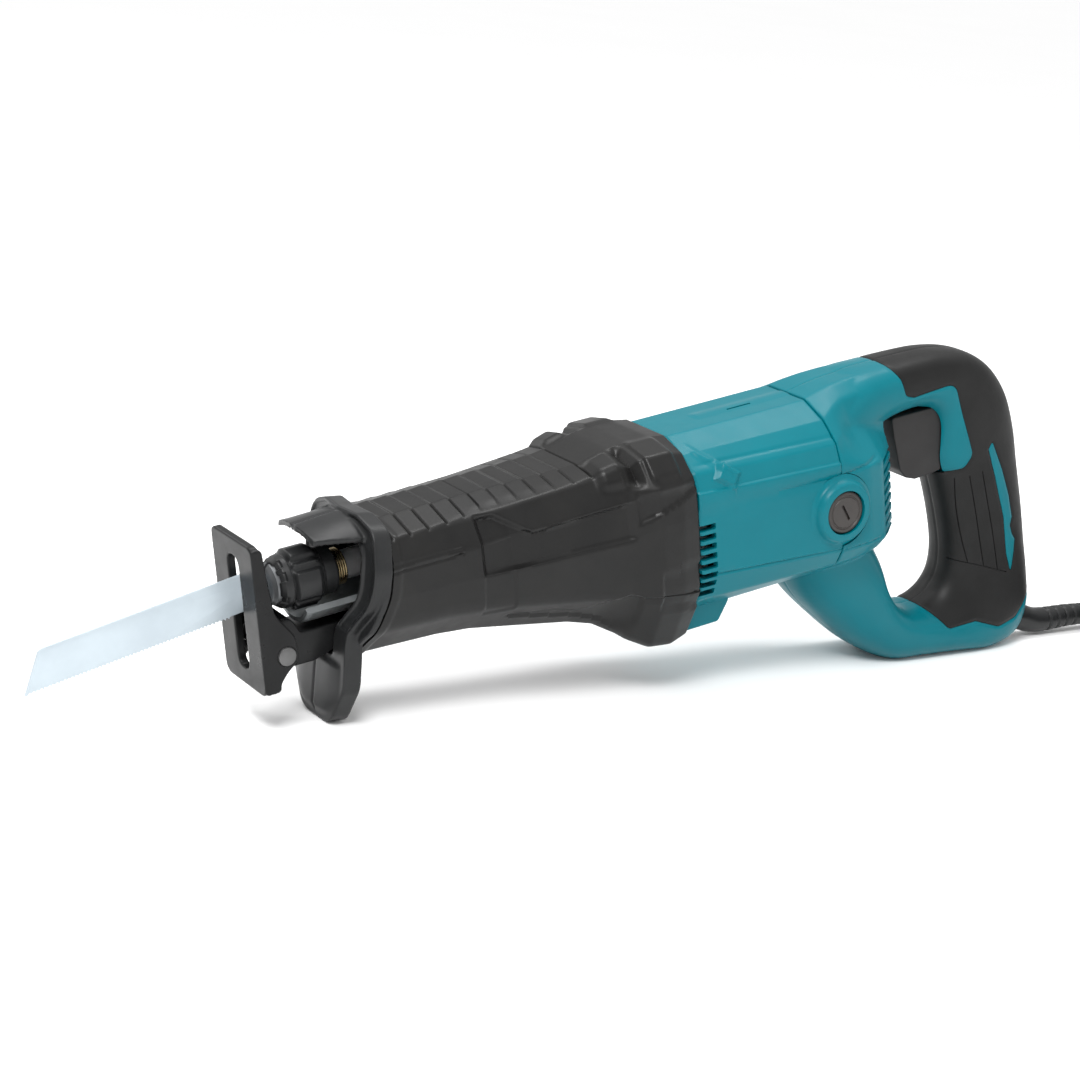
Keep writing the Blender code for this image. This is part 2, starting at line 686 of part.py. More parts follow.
def make_gear_housing(parent):
    """Die-cast housing: nose with the rod's guide, cradle under the clamp, gear chamber."""
    housing = body_loft("gear_housing", BOOT_SECTIONS, "cast_alloy", parent, HOUSING_INSET,
                        start=NOSE_START, end=BOOT_END)
    cradle = arc((0, 0), 20.5, 216, 324, 12) + arc((0, 0), 17.5, 324, 216, 12)
    lip = slab("cradle_blank", [cradle], "yz", 26, NOSE_START + 2, None, parent)
    boolean(housing, lip, "UNION")
    gear_room = [(0, -9), (31.8, -9), (31.8, -33), (8, -33), (8, -41.7), (11.3, -41.7),
                 (11.3, -49.8), (0, -49.8)]
    cuts = (
        rod_shape("guide_bore", 10.5, 60, 130, "x", None, parent, steps=20),
        block("slider_chamber", (128, -27, -10), (240, 27, 14), None, parent),
        turned("gear_chamber", gear_room, "z", None, parent, at=(CRANK_X, 0, 0), steps=28),
        block("pinion_chamber", (201, -13, MOTOR_Z - 11), (240, 13, -5), None, parent),
        block("bracket_way", (40, -BRACKET_HALF - 0.5, -60), (116, BRACKET_HALF + 0.5, -21.2), None,
              parent),
    )
    subtract(housing, *cuts, solver="MANIFOLD")


def make_rod_guides(parent):
    for name, start in (("front", 84.0), ("rear", 112.0)):
        ring_shape("rod_bushing_" + name, ROD_RADIUS + 0.05, 10.2, start, start + 14, "x", "bronze",
                   parent, steps=18)
    ring_shape("rod_dust_seal", ROD_RADIUS + 0.3, 10.2, 76.0, 80.0, "x", "rubber", parent)


def make_bearing_plate(parent, armature_axis):
    """Closes the gear housing and holds the armature's front bearing."""
    plate = rod_shape("bearing_plate", 35.8, BOOT_END + 2 * GAP, 230.5, "x", "cast_alloy",
                      armature_axis, steps=28)
    subtract(plate, turned("bearing_plate_bore",
                           [(0, 240), (9.0, 240), (9.0, 229.8), (11.3, 229.8), (11.3, 215), (0, 215)],
                           "x", None, armature_axis))


def slots(name, count, pitch, low, high, parent):
    """A ladder of horizontal slots as one cutter."""
    bm = bmesh.new()
    for i in range(count):
        made = bmesh.ops.create_cube(bm, size=1.0)["verts"]
        size = [b - a for a, b in zip(low, high)]
        bmesh.ops.scale(bm, vec=size, verts=made)
        middle = Vector([(a + b) / 2 for a, b in zip(low, high)])
        bmesh.ops.translate(bm, vec=middle + Vector((0, 0, pitch * i)), verts=made)
    return from_bmesh(name, bm, None, parent)


def make_motor_housing(parent):
    """Moulded tube round the motor, with vents, a lower block and the brush-cap bosses."""
    housing = body_loft("motor_housing", HOUSING_SECTIONS, "teal", parent)
    foot = slab("housing_foot_blank",
                [[(BOOT_END + GAP, -50), (BOOT_END + GAP, -72), (241, -72), (248, -60), (248, -50)]],
                "xz", -25, 25, None, parent)
    boolean(housing, foot, "UNION")
    boss = rod_shape("cap_boss_blank", 15.0, -48.0, 48.0, "y", None, parent,
                     at=(BRUSH_X, 0, MOTOR_Z), steps=32)
    boolean(housing, boss, "UNION")
    bore = rod_shape("motor_bore", 36.2, 200, 340, "x", None, parent, at=(0, 0, MOTOR_Z), steps=40)
    well = rod_shape("cap_well", 11.2, -60, 60, "y", None, parent, at=(BRUSH_X, 0, MOTOR_Z))
    notch = handle_loop("handle_notch", None, parent, -0.5, 1.0)
    subtract(housing, bore, well, notch, solver="MANIFOLD")
    for name, side in SIDES:
        low, high = sorted((side * 30, side * 60))
        vents = slots("front_vents_" + name, 8, 4.9, (223.5, low, -49.5), (229.5, high, -46.7), parent)
        subtract(housing, vents, solver="MANIFOLD")


def handle_ring(station, inset=0.0, power=2.7, count=16):
    """A cross-section of the handle's loop: a soft-cornered oval between two points."""
    outer, inner, half = station
    middle = (Vector(outer) + Vector(inner)) / 2
    deep = (Vector(outer) - Vector(inner)) / 2
    deep *= (deep.length - inset) / deep.length
    ring = []
    for i in range(count):
        a = 2 * math.pi * (i + 0.5) / count
        c = math.copysign(abs(math.cos(a)) ** (2 / power), math.cos(a))
        s = math.copysign(abs(math.sin(a)) ** (2 / power), math.sin(a))
        ring.append((middle.x + deep.x * c, (half - inset) * s, middle.y + deep.y * c))
    return ring


def handle_loop(name, key, parent, inset=0.0, overrun=0.0):
    """The handle's loop; overrun carries its last ring on along the loop."""
    rings = [handle_ring(station, inset) for station in HANDLE_STATIONS]
    if overrun:
        way = (Vector(rings[-1][0]) - Vector(rings[-2][0])).normalized() * overrun
        rings.append([tuple(Vector(point) + way) for point in rings[-1]])
    return loft(name, rings, key, parent)


def make_handle(parent):
    """Two clamshell halves with a soft overmould bonded to each of them."""
    loop = handle_loop("handle_loop", None, parent)
    core_loop = handle_loop("handle_core_loop", None, parent, OVERMOULD_SKIN)
    hollow = handle_loop("handle_hollow", None, parent, OVERMOULD_SKIN + HANDLE_WALL)
    outline = rounded(OVERMOULD_OUTLINE)
    region = slab("overmould_region", [outline], "xz", -40, 40, None, parent)
    seat = slab("overmould_seat_region", [grown(outline, GAP)], "xz", -42, 42, None, parent)
    shell_cut = handle_loop("overmould_seat", None, parent, -1.0)
    boolean(shell_cut, seat, "INTERSECT")
    subtract(shell_cut, handle_loop("overmould_seat_core", None, parent, OVERMOULD_SKIN + GAP))
    trigger_way = block("trigger_way", (352, -TRIGGER_HALF - 0.5, -35.2), (404, TRIGGER_HALF + 0.5, 3.0),
                        None, parent)
    motor_room = rod_shape("brush_room", 36.5, 295, 332, "x", None, parent, at=(0, 0, MOTOR_Z),
                           steps=32)
    boss_room = rod_shape("boss_room", 15.0 + GAP, -60, 60, "y", None, parent,
                          at=(BRUSH_X, 0, MOTOR_Z), steps=32)
    upright = new_frame("foot_frame", turn=(0, TILT, 0), parent=parent)
    ground = block("foot_flat", (250, -60, GROUND_LEVEL - 30), (500, 60, GROUND_LEVEL), None, upright)
    guard_way = rod_shape("guard_way", 8.3, -20, 60, "x", None, parent, at=GUARD_START)
    guard_way.rotation_euler = (0, math.pi / 2 + GUARD_DIP + TILT, 0)
    posts = screw_posts(parent)
    ways = screw_ways(parent)
    for name, side in SIDES:
        shell = body_loft("handle_shell_" + name, REAR_SECTIONS, "teal", parent)
        boolean(shell, loop, "UNION", "MANIFOLD")
        subtract(shell, shell_cut, hollow, solver="MANIFOLD")
        for post in posts:
            boolean(shell, post, "UNION", "MANIFOLD")
        subtract(shell, *ways, motor_room, boss_room, trigger_way, ground, guard_way,
                 solver="MANIFOLD")
        cover = handle_loop("grip_overmould_" + name, "rubber", parent)
        boolean(cover, region, "INTERSECT")
        subtract(cover, core_loop, trigger_way, guard_way, *ways, solver="MANIFOLD")
        low, high = sorted((-side * GAP / 2 + side * GAP, -side * 80))
        other = block("half_cut_" + name, (250, low, -200), (520, high, 100), None, parent)
        subtract(shell, other, solver="MANIFOLD")
        subtract(cover, other, solver="MANIFOLD")


# ---------------------------------------------------------------- front guard and shoe

def mirrored(half):
    """A closed outline from its right half, which runs from top centre to bottom centre."""
    return half + [(-u, v) + tuple(rest) for u, v, *rest in reversed(half)]


def make_front_guard(parent):
    """Hand guard: a collar round the clamp, a visor over it and a chin under it. It stands
    square to the ground, so it is drawn in a frame tipped back from the tool's."""
    upright = new_frame("guard_frame", turn=(0, TILT, 0), parent=parent)
    half = [(20, 39.5, 14), (42.5, 31.5, 16), (45, 8, 22), (24.5, -15, 4), (25.5, -42, 12),
            (14, GROUND_LEVEL, 10)]
    outline = rounded(mirrored(half), steps=4)
    opening_half = [(18, 33.5, 12), (30, 25, 12), (27.5, -2, 14), (BRACKET_HALF + 1, -16.5, 2),
                    (BRACKET_HALF + 1, -29, 1)]
    opening = rounded(mirrored(opening_half), steps=3)
    guard = slab("front_guard", [outline, opening], "yz", GUARD_FRONT, GUARD_BACK, "dark_plastic",
                 upright)
    rings = []
    for x, reach, ridge, edge in ((26.5, 15.5, 31.2, 26.4), (37.0, 19.5, 32.8, 26.8),
                                  (49.0, 29.0, 35.0, 25.5)):
        top = []
        under = []
        for i in range(9):
            t = -1 + 2 * i / 8
            drop = (ridge - edge) * abs(t) ** 1.6
            top.append((x + 3 * t * t, reach * t, ridge - drop))
            under.append((x + 3 * t * t, reach * t * 0.96, ridge - drop - 3.0))
        rings.append(top + under[::-1])
    boolean(guard, loft("visor_blank", rings, None, upright), "UNION")


def set_pivot(frame, at):
    """Moves a frame onto its joint's axis and leaves what it carries in place."""
    shift = Vector(at) * MM
    frame.location += shift
    for piece in frame.children:
        piece.location -= shift


def make_shoe(carrier, tilting):
    """The shoe: a slotted face plate with an ear each side on the pivot pin."""
    h = SHOE_HALF
    plate = rounded([(-h, 27, 5), (h, 27, 5), (h, -44.5, 6), (-h, -44.5, 6)])
    slot = rounded([(-5.5, 18.5, 5.3), (5.5, 18.5, 5.3), (5.5, -36, 5.3), (-5.5, -36, 5.3)], steps=4)
    shoe = slab("shoe_plate", [plate, slot], "yz", 0, PLATE_THICK, "black_steel", tilting)
    ear = rounded([(1.0, 20, 0), (5.0, 20, 2), (8.5, -4, 10), (17.2, -19, 6), (18.2, -30, 6),
                   (11.5, -35.5, 3), (8.0, -40, 4), (7.2, -44, 2), (1.0, -44, 0)])
    for name, side in SIDES:
        start, end = sorted((side * h, side * (h - 3.4)))
        piece = slab("shoe_ear_" + name, [ear], "xz", start, end, None, tilting)
        boolean(shoe, piece, "UNION")
    bore = rod_shape("shoe_pin_bore", PIN_RADIUS + 0.25, -40, 40, "y", None, tilting,
                     at=(PIN_X, 0, PIN_Z))
    subtract(shoe, bore)
    rod_shape("shoe_pin", PIN_RADIUS, -h - 1.2, h + 1.2, "y", "steel", carrier, at=(PIN_X, 0, PIN_Z),
              chamfer=0.6)


def make_bracket(parent):
    """The arm that carries the shoe's pin and slides under the gear housing."""
    half = BRACKET_HALF
    side = rounded([(6.2, -21, 4), (11, -14.5, 4), (20.5, -14.5, 4), (24.5, -22.2, 3),
                    (108, -22.2, 0), (108, -34, 0), (42, -34, 0), (30, -37.5, 4), (9, -37.5, 5)])
    bracket = slab("shoe_bracket", [side], "xz", -half, half, "black_steel", parent)
    bore = rod_shape("bracket_bore", PIN_RADIUS + 0.25, -30, 30, "y", None, parent,
                     at=(PIN_X, 0, PIN_Z))
    channel = block("bracket_channel", (44, -half + 3, -31), (120, half - 3, -10), None, parent)
    hook = block("bracket_hollow", (-10, -half + 3.2, -50), (21, half - 3.2, -8), None, parent)
    subtract(bracket, bore, channel, hook)


# ---------------------------------------------------------------- trigger, switch, fasteners

def make_trigger(parent):
    outline = rounded([(361.5, 2.2, 2), (362.5, -12, 8), (366.5, -30, 4), (372, -34.4, 3),
                       (393, -34.4, 2), (395, -20, 0), (395, 2.2, 0)])
    trigger = slab("trigger", [outline], "xz", -TRIGGER_HALF, TRIGGER_HALF, "dark_plastic", parent)
    round_edges(trigger, 1.6, 2)


def make_switch(parent):
    block("switch_body", (404.5, -8.5, -28), (428, 8.5, -3), "dark_plastic", parent, bevel=1)
    block("cord_clamp", (428, -9, -116.5), (440, 9, -113.5), "dark_plastic", parent, bevel=0.6)


def make_release_button(parent):
    """Push button under the boot that frees the shoe's arm."""
    rod_shape("shoe_release_button", BUTTON_RADIUS, -42.2, -36.8, "z", "dark_plastic", parent,
              at=(BUTTON_X, 0, 0), chamfer=0.8)


def make_screws(parent):
    """The screws that close the handle, put in from the right into bosses of the left half."""
    for i, (x, z, _) in enumerate(HANDLE_SCREWS, 1):
        profile = [(0, 14.5), (3.6, 14.5), (3.6, 12.3), (1.9, 12.0), (1.9, -11.0), (0, -11.0)]
        turned("handle_screw_%d" % i, profile, "y", "steel", parent, at=(x, 0, z), steps=12)


def screw_ways(parent):
    """Holes for the handle's screws, open to the right with a seat for each head."""
    ways = []
    for i, (x, z, _) in enumerate(HANDLE_SCREWS, 1):
        profile = [(0, 60), (4.2, 60), (4.2, 12.0), (2.3, 11.7), (2.3, -11.5), (0, -11.5)]
        ways.append(turned("screw_way_%d" % i, profile, "y", None, parent, at=(x, 0, z), steps=12))
    return ways


def screw_posts(parent):
    """Posts inside the handle that the screws pass through."""
    return [rod_shape("screw_post_%d" % i, 5.2, -half, half, "y", None, parent, at=(x, 0, z),
                      steps=12) for i, (x, z, half) in enumerate(HANDLE_SCREWS, 1)]


# ---------------------------------------------------------------- mains lead on the ground

def make_lead(saw, ground):
    """Guard, lead, tied coil and plug. All lie on the ground behind the handle."""
    start = (saw.matrix_world @ (Vector(GUARD_START) * MM)) / MM
    dip = Vector((math.cos(GUARD_DIP), 0, -math.sin(GUARD_DIP)))
    tip = Vector((start.x + 68, 0, 8.4))
    line = smooth_path([start, start + dip * 14, start + dip * 28, tip - Vector((18, 0, 0)), tip], 6)
    rings = []
    for i, centre in enumerate(line):
        share = i / (len(line) - 1)
        radius = GUARD_RADII[0] + (GUARD_RADII[1] - GUARD_RADII[0]) * share
        rings.append([(centre.x, centre.y + radius * math.cos(a), centre.z + radius * math.sin(a))
                      for a in (2 * math.pi * k / 14 for k in range(14))])
    loft("cord_guard", rings, "dark_plastic", ground)
    reach = COIL_MEAN_RADIUS + CORD_RADIUS * (COIL_WIDE - 1)
    outer = COIL_MEAN_RADIUS + CORD_RADIUS * COIL_WIDE
    inner = COIL_MEAN_RADIUS - CORD_RADIUS * COIL_WIDE
    centre = Vector((tip.x + 50, -reach, 0))
    floor = CORD_RADIUS + 0.2
    run_end = centre.x - math.sqrt((outer + CORD_RADIUS + GAP) ** 2 - reach ** 2)
    route = [(tip.x + 2 * GAP, 0, tip.z), (tip.x + 8, 0, tip.z - 1), (run_end, 0, floor + 1.6)]
    wire("power_cord", smooth_path(route, 9), CORD_RADIUS, "rubber", ground, resolution=3)
    height = 2 * CORD_RADIUS * COIL_LAYERS
    ring_shape("cord_coil", inner, outer, COIL_LIFT, COIL_LIFT + height, "z", "rubber", ground,
               at=centre, steps=32)
    make_tie(ground, centre, inner, outer, height)
    make_plug(ground, centre, reach)


def make_tie(ground, centre, inner, outer, height):
    """A strap round the coil's turns, on the side away from the tool."""
    slack = 0.5 + TIE_THICK
    low = COIL_LIFT - slack + 0.2
    high = COIL_LIFT + height + slack - 0.2
    near = centre.x + inner - 0.6 - slack
    far = centre.x + outer + slack
    t = TIE_THICK
    outside = rounded([(near, high, 3), (far, high, 3), (far, low, 3), (near, low, 3)])
    inside = [(near + t, high - t), (far - t, high - t), (far - t, low + t), (near + t, low + t)]
    slab("coil_tie", [outside, inside], "xz", centre.y - TIE_HALF, centre.y + TIE_HALF, "rubber",
         ground)


def make_plug(ground, centre, reach):
    """Two-pin moulded plug on a short tail of lead, lying beside the coil."""
    tail_y = centre.y - reach
    front = centre.x - PLUG_AHEAD
    axis_z = PLUG_HALF_THICK + 0.2
    rings = []
    for x, wide, thick in ((0, 6.5, 6.5), (-14, 7.5, 7.0), (-20, 15, 8.5), (-34, 18, PLUG_HALF_THICK),
                           (-46, 18, PLUG_HALF_THICK)):
        ring = []
        for i in range(16):
            a = 2 * math.pi * (i + 0.5) / 16
            c = math.copysign(abs(math.cos(a)) ** 0.7, math.cos(a))
            s = math.copysign(abs(math.sin(a)) ** 0.7, math.sin(a))
            ring.append((front + x, tail_y + wide * c, axis_z + thick * s))
        rings.append(ring)
    loft("plug", rings, "rubber", ground)
    for name, side in SIDES:
        rod_shape("plug_pin_" + name, 2.4, -19, -GAP, "x", "steel", ground,
                  at=(front - 46, tail_y + side * 9.5, axis_z), steps=12, chamfer=0.8)
    outer = COIL_MEAN_RADIUS + CORD_RADIUS * COIL_WIDE
    leave = centre.x - math.sqrt((outer + CORD_RADIUS + GAP) ** 2 - reach ** 2)
    low = CORD_RADIUS + 0.2
    end = front + 4 * GAP
    route = [(leave, tail_y, low), (end + 5, tail_y, axis_z - 1), (end, tail_y, axis_z)]
    wire("cord_tail", smooth_path(route, 9), CORD_RADIUS, "rubber", ground, resolution=3)


# ---------------------------------------------------------------- assembly

def stand_on_ground(saw):
    """Tips the tool onto its chin and foot, with the origin under the middle of its box."""
    saw.rotation_euler = (0, -TILT, 0)
    bpy.context.view_layer.update()
    graph = bpy.context.evaluated_depsgraph_get()
    low = Vector((1e9, 1e9, 1e9))
    high = -low
    for obj in PARTS.all_objects:
        if obj.type != "MESH":
            continue
        shape = obj.evaluated_get(graph)
        for vertex in shape.data.vertices:
            point = obj.matrix_world @ vertex.co
            low = Vector(map(min, low, point))
            high = Vector(map(max, high, point))
    saw.location = (-(low.x + high.x) / 2, -(low.y + high.y) / 2, -low.z)
    bpy.context.view_layer.update()


def build_saw():
    saw = new_frame("saw_frame")
    stroke = new_frame("stroke_axis", parent=saw)
    sleeve_axis = new_frame("sleeve_axis", parent=stroke)
    make_blade(stroke)
    make_clamp(stroke)
    make_clamp_spring(stroke)
    make_rod(stroke)
    make_sleeve(sleeve_axis)
    crank_axis = new_frame("crank_axis", at=(CRANK_X, 0, 0), parent=saw)
    make_crank_gear(crank_axis)
    armature_axis = new_frame("armature_axis", at=(0, 0, MOTOR_Z), parent=saw)
    make_armature(armature_axis)
    motor_axis = new_frame("motor_axis", at=(0, 0, MOTOR_Z), parent=saw)
    make_motor_fixed(motor_axis)
    make_bearing_plate(saw, motor_axis)
    make_gear_bearing(saw)
    make_rod_guides(saw)
    make_gear_housing(saw)
    make_boot(saw)
    make_motor_housing(saw)
    make_handle(saw)
    make_front_guard(saw)
    shoe_slide = new_frame("shoe_slide", parent=saw)
    shoe_pivot = new_frame("shoe_pivot", parent=shoe_slide)
    make_shoe(shoe_slide, shoe_pivot)
    set_pivot(shoe_pivot, (PIN_X, 0, PIN_Z))
    make_bracket(shoe_slide)
    trigger_slide = new_frame("trigger_slide", parent=saw)
    make_trigger(trigger_slide)
    make_switch(saw)
    make_release_button(new_frame("button_slide", parent=saw))
    make_screws(saw)
    stand_on_ground(saw)
    make_lead(saw, new_frame("ground"))


clear_scene()
PARTS = new_collection("reciprocating_saw")
CUTTERS = new_collection("cutters")
build_saw()
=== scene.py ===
"""The looks of a corded reciprocating saw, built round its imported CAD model.

Shapes are drawn in the tool's own frame, in millimetres: X runs back along the stroke axis
from the shoe's face, Y across (the side seen is -Y), Z up from the stroke axis. They are
moved into the model's frame when their meshes are made.
"""
import json
import math

import bmesh
import bpy
import numpy as np
from mathutils import Matrix, Vector


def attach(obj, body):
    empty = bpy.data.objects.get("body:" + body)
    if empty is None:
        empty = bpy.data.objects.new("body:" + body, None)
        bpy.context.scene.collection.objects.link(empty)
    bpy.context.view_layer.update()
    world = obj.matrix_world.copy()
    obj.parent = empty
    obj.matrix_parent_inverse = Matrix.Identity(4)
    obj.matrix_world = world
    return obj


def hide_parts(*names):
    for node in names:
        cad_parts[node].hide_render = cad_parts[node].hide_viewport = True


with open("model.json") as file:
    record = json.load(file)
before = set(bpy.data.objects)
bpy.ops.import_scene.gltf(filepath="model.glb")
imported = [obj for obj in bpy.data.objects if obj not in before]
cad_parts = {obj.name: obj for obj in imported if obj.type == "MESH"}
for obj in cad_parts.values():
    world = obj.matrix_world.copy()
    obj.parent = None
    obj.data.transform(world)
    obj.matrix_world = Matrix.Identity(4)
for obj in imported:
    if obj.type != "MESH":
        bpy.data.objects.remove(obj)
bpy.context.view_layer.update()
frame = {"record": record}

MM = 0.001
SIDES = (("left", -1), ("right", 1))
JOINTS = {joint["name"]: joint for joint in frame["record"]["behaviour"]["joints"]}

# The tool's frame, found from the crank's axis and the armature's
CRANK_X = 189.0
LONG = Vector(JOINTS["armature_spin"]["axis"])
UP = Vector(JOINTS["crank_spin"]["axis"])
ORIGIN = Vector(JOINTS["crank_spin"]["pos_m"]) - LONG * CRANK_X * MM
TO_WORLD = Matrix(((LONG.x * MM, 0, UP.x * MM, ORIGIN.x), (0, MM, 0, 0),
                   (LONG.z * MM, 0, UP.z * MM, ORIGIN.z), (0, 0, 0, 1)))
TILT = math.atan2(LONG.z, LONG.x)
# Frames that shapes are drawn in: the tool's, one square to the ground through the tool's
# origin, and the ground's own
FRAMES = {"saw": TO_WORLD, "upright": Matrix.Translation(ORIGIN) @ Matrix.Scale(MM, 4),
          "ground": Matrix.Scale(MM, 4)}
drawn_in = ["saw"]


# ---------------------------------------------------------------- camera, light and floor

CAMERA_AT = (-418.235, -991.832, 426.853)      # in the tool's frame
CAMERA_RIGHT = (0.85056362, -0.52203291, -0.06342847)
CAMERA_DOWN = (-0.23887353, -0.27608755, -0.93097535)
CAMERA_AHEAD = (0.46848796, 0.80700514, -0.35952987)
LENS = 86.31


def add_object(name, data):
    obj = bpy.data.objects.new(name, data)
    bpy.context.scene.collection.objects.link(obj)
    return obj


def make_camera():
    turn = TO_WORLD.to_3x3().normalized()
    right, down, ahead = (turn @ Vector(v) for v in (CAMERA_RIGHT, CAMERA_DOWN, CAMERA_AHEAD))
    camera = bpy.data.cameras.new("camera")
    camera.lens = LENS
    camera.sensor_width = 36.0
    camera.clip_start = 0.05
    obj = add_object("camera", camera)
    axes = Matrix((right, -down, -ahead)).transposed().to_4x4()
    axes.translation = TO_WORLD @ Vector(CAMERA_AT)
    obj.matrix_world = axes
    bpy.context.scene.camera = obj


def area_light(name, at, aim, size, power):
    light = bpy.data.lights.new(name, "AREA")
    light.shape = "RECTANGLE"
    light.size, light.size_y = size
    light.energy = power
    obj = add_object(name, light)
    obj.location = at
    obj.rotation_euler = (Vector(aim) - Vector(at)).to_track_quat("-Z", "Y").to_euler()


# The studio's walls and ceiling: (height, half of the brightness), pale low down, darker above
# that, and bright overhead
SKY = ((0.0, 0.475), (0.25, 0.475), (0.38, 0.225), (1.0, 0.775))
# Softboxes: name, place, aim, size and watts
LIGHTS = (("key", (-0.75, -0.75, 1.3), (0, 0, 0.05), (0.5, 0.5), 21),
          ("top", (0.1, 0.25, 1.2), (0.05, 0, 0.05), (1.2, 0.25), 8),
          ("fill", (0.9, -1.3, 0.7), (0.1, 0, 0.05), (0.6, 0.6), 1.5),
          ("rim", (-0.5, 1.2, 0.8), (0, 0, 0.1), (1.0, 0.4), 3))
FLOOR_DROP = 0.0002             # the floor lies just under the object's lowest points


def make_studio():
    world = bpy.data.worlds.new("studio")
    world.use_nodes = True
    world.node_tree.nodes["Background"].inputs["Color"].default_value = (1, 1, 1, 1)
    nodes, links = world.node_tree.nodes, world.node_tree.links
    place = nodes.new("ShaderNodeTexCoord")
    split = nodes.new("ShaderNodeSeparateXYZ")
    ramp = nodes.new("ShaderNodeValToRGB")
    stops = ramp.color_ramp.elements
    for height, grey in SKY:
        stop = stops[-1] if height == 1.0 else stops[0] if height == 0.0 else stops.new(height)
        stop.color = (grey, grey, grey, 1)
    rise = nodes.new("ShaderNodeMapRange")
    rise.inputs["To Max"].default_value = 2.0
    links.new(place.outputs["Generated"], split.inputs["Vector"])
    links.new(split.outputs["Z"], ramp.inputs["Fac"])
    links.new(ramp.outputs["Color"], rise.inputs["Value"])
    links.new(rise.outputs["Result"], nodes["Background"].inputs["Strength"])
    bpy.context.scene.world = world
    for light in LIGHTS:
        area_light(*light)
    floor = bpy.data.meshes.new("floor")
    far = 60.0
    floor.from_pydata([(-far, -far, 0), (far, -far, 0), (far, far, 0), (-far, far, 0)], [],
                      [(0, 1, 2, 3)])
    obj = add_object("floor", floor)
    floor.materials.append(floor_paper())
    obj.location.z = -FLOOR_DROP


# ---------------------------------------------------------------- materials

class Graph:
    """A material's node tree, with short ways to add and join nodes."""

    def __init__(self, name):
        self.material = bpy.data.materials.new(name)
        self.material.use_nodes = True
        self.nodes = self.material.node_tree.nodes
        self.links = self.material.node_tree.links
        self.shader = self.nodes["Principled BSDF"]
        self.place = self.nodes.new("ShaderNodeTexCoord").outputs["Object"]

    def add(self, kind, **values):
        node = self.nodes.new(kind)
        for key, value in values.items():
            if key in node.inputs:
                node.inputs[key].default_value = value
            else:
                setattr(node, key, value)
        return node

    def join(self, output, target):
        self.links.new(output, target)

    def noise(self, scale, detail=3.0, roughness=0.5, stretch=None):
        node = self.add("ShaderNodeTexNoise", Scale=scale, Detail=detail, Roughness=roughness)
        place = self.place
        if stretch:
            mapping = self.add("ShaderNodeMapping")
            mapping.inputs["Scale"].default_value = stretch
            mapping.inputs["Rotation"].default_value = (0, TILT, 0)
            self.join(place, mapping.inputs["Vector"])
            place = mapping.outputs["Vector"]
        self.join(place, node.inputs["Vector"])
        return node.outputs["Fac"]

    def ramp(self, value, low, high, start=0.0, end=1.0):
        node = self.add("ShaderNodeMapRange")
        node.inputs["From Min"].default_value = low
        node.inputs["From Max"].default_value = high
        node.inputs["To Min"].default_value = start
        node.inputs["To Max"].default_value = end
        self.join(value, node.inputs["Value"])
        return node.outputs["Result"]

    def mix(self, share, first, second):
        node = self.add("ShaderNodeMix", data_type="RGBA")
        node.inputs["A"].default_value = (*first, 1)
        node.inputs["B"].default_value = (*second, 1)
        self.join(share, node.inputs["Factor"])
        return node.outputs["Result"]

    def bump(self, height, strength, distance):
        node = self.add("ShaderNodeBump", Strength=strength, Distance=distance)
        self.join(height, node.inputs["Height"])
        self.join(node.outputs["Normal"], self.shader.inputs["Normal"])


def surface(name, colour, shade, roughness, spread=0.05, metallic=0.0, grain=900.0, relief=0.12,
            depth=0.00008, stretch=None, specular=0.5):
    """A moulded or machined finish: two close tones, uneven gloss and a fine grain."""
    g = Graph(name)
    tone = g.ramp(g.noise(38.0, 4.0, 0.6), 0.35, 0.65)
    g.join(g.mix(tone, colour, shade), g.shader.inputs["Base Color"])
    gloss = g.noise(90.0, 3.0, 0.6)
    g.join(g.ramp(gloss, 0.3, 0.7, roughness - spread, roughness + spread),
           g.shader.inputs["Roughness"])
    g.shader.inputs["Metallic"].default_value = metallic
    g.shader.inputs["Specular IOR Level"].default_value = specular
    g.bump(g.noise(grain, 2.0, 0.5, stretch), relief, depth)
    return g.material


def floor_paper():
    g = Graph("floor_paper")
    tone = g.ramp(g.noise(3.0), 0.3, 0.7)
    g.join(g.mix(tone, (0.95, 0.95, 0.95), (0.9405, 0.9405, 0.9405)), g.shader.inputs["Base Color"])
    g.shader.inputs["Roughness"].default_value = 0.9
    g.shader.inputs["Specular IOR Level"].default_value = 0.1
    return g.material


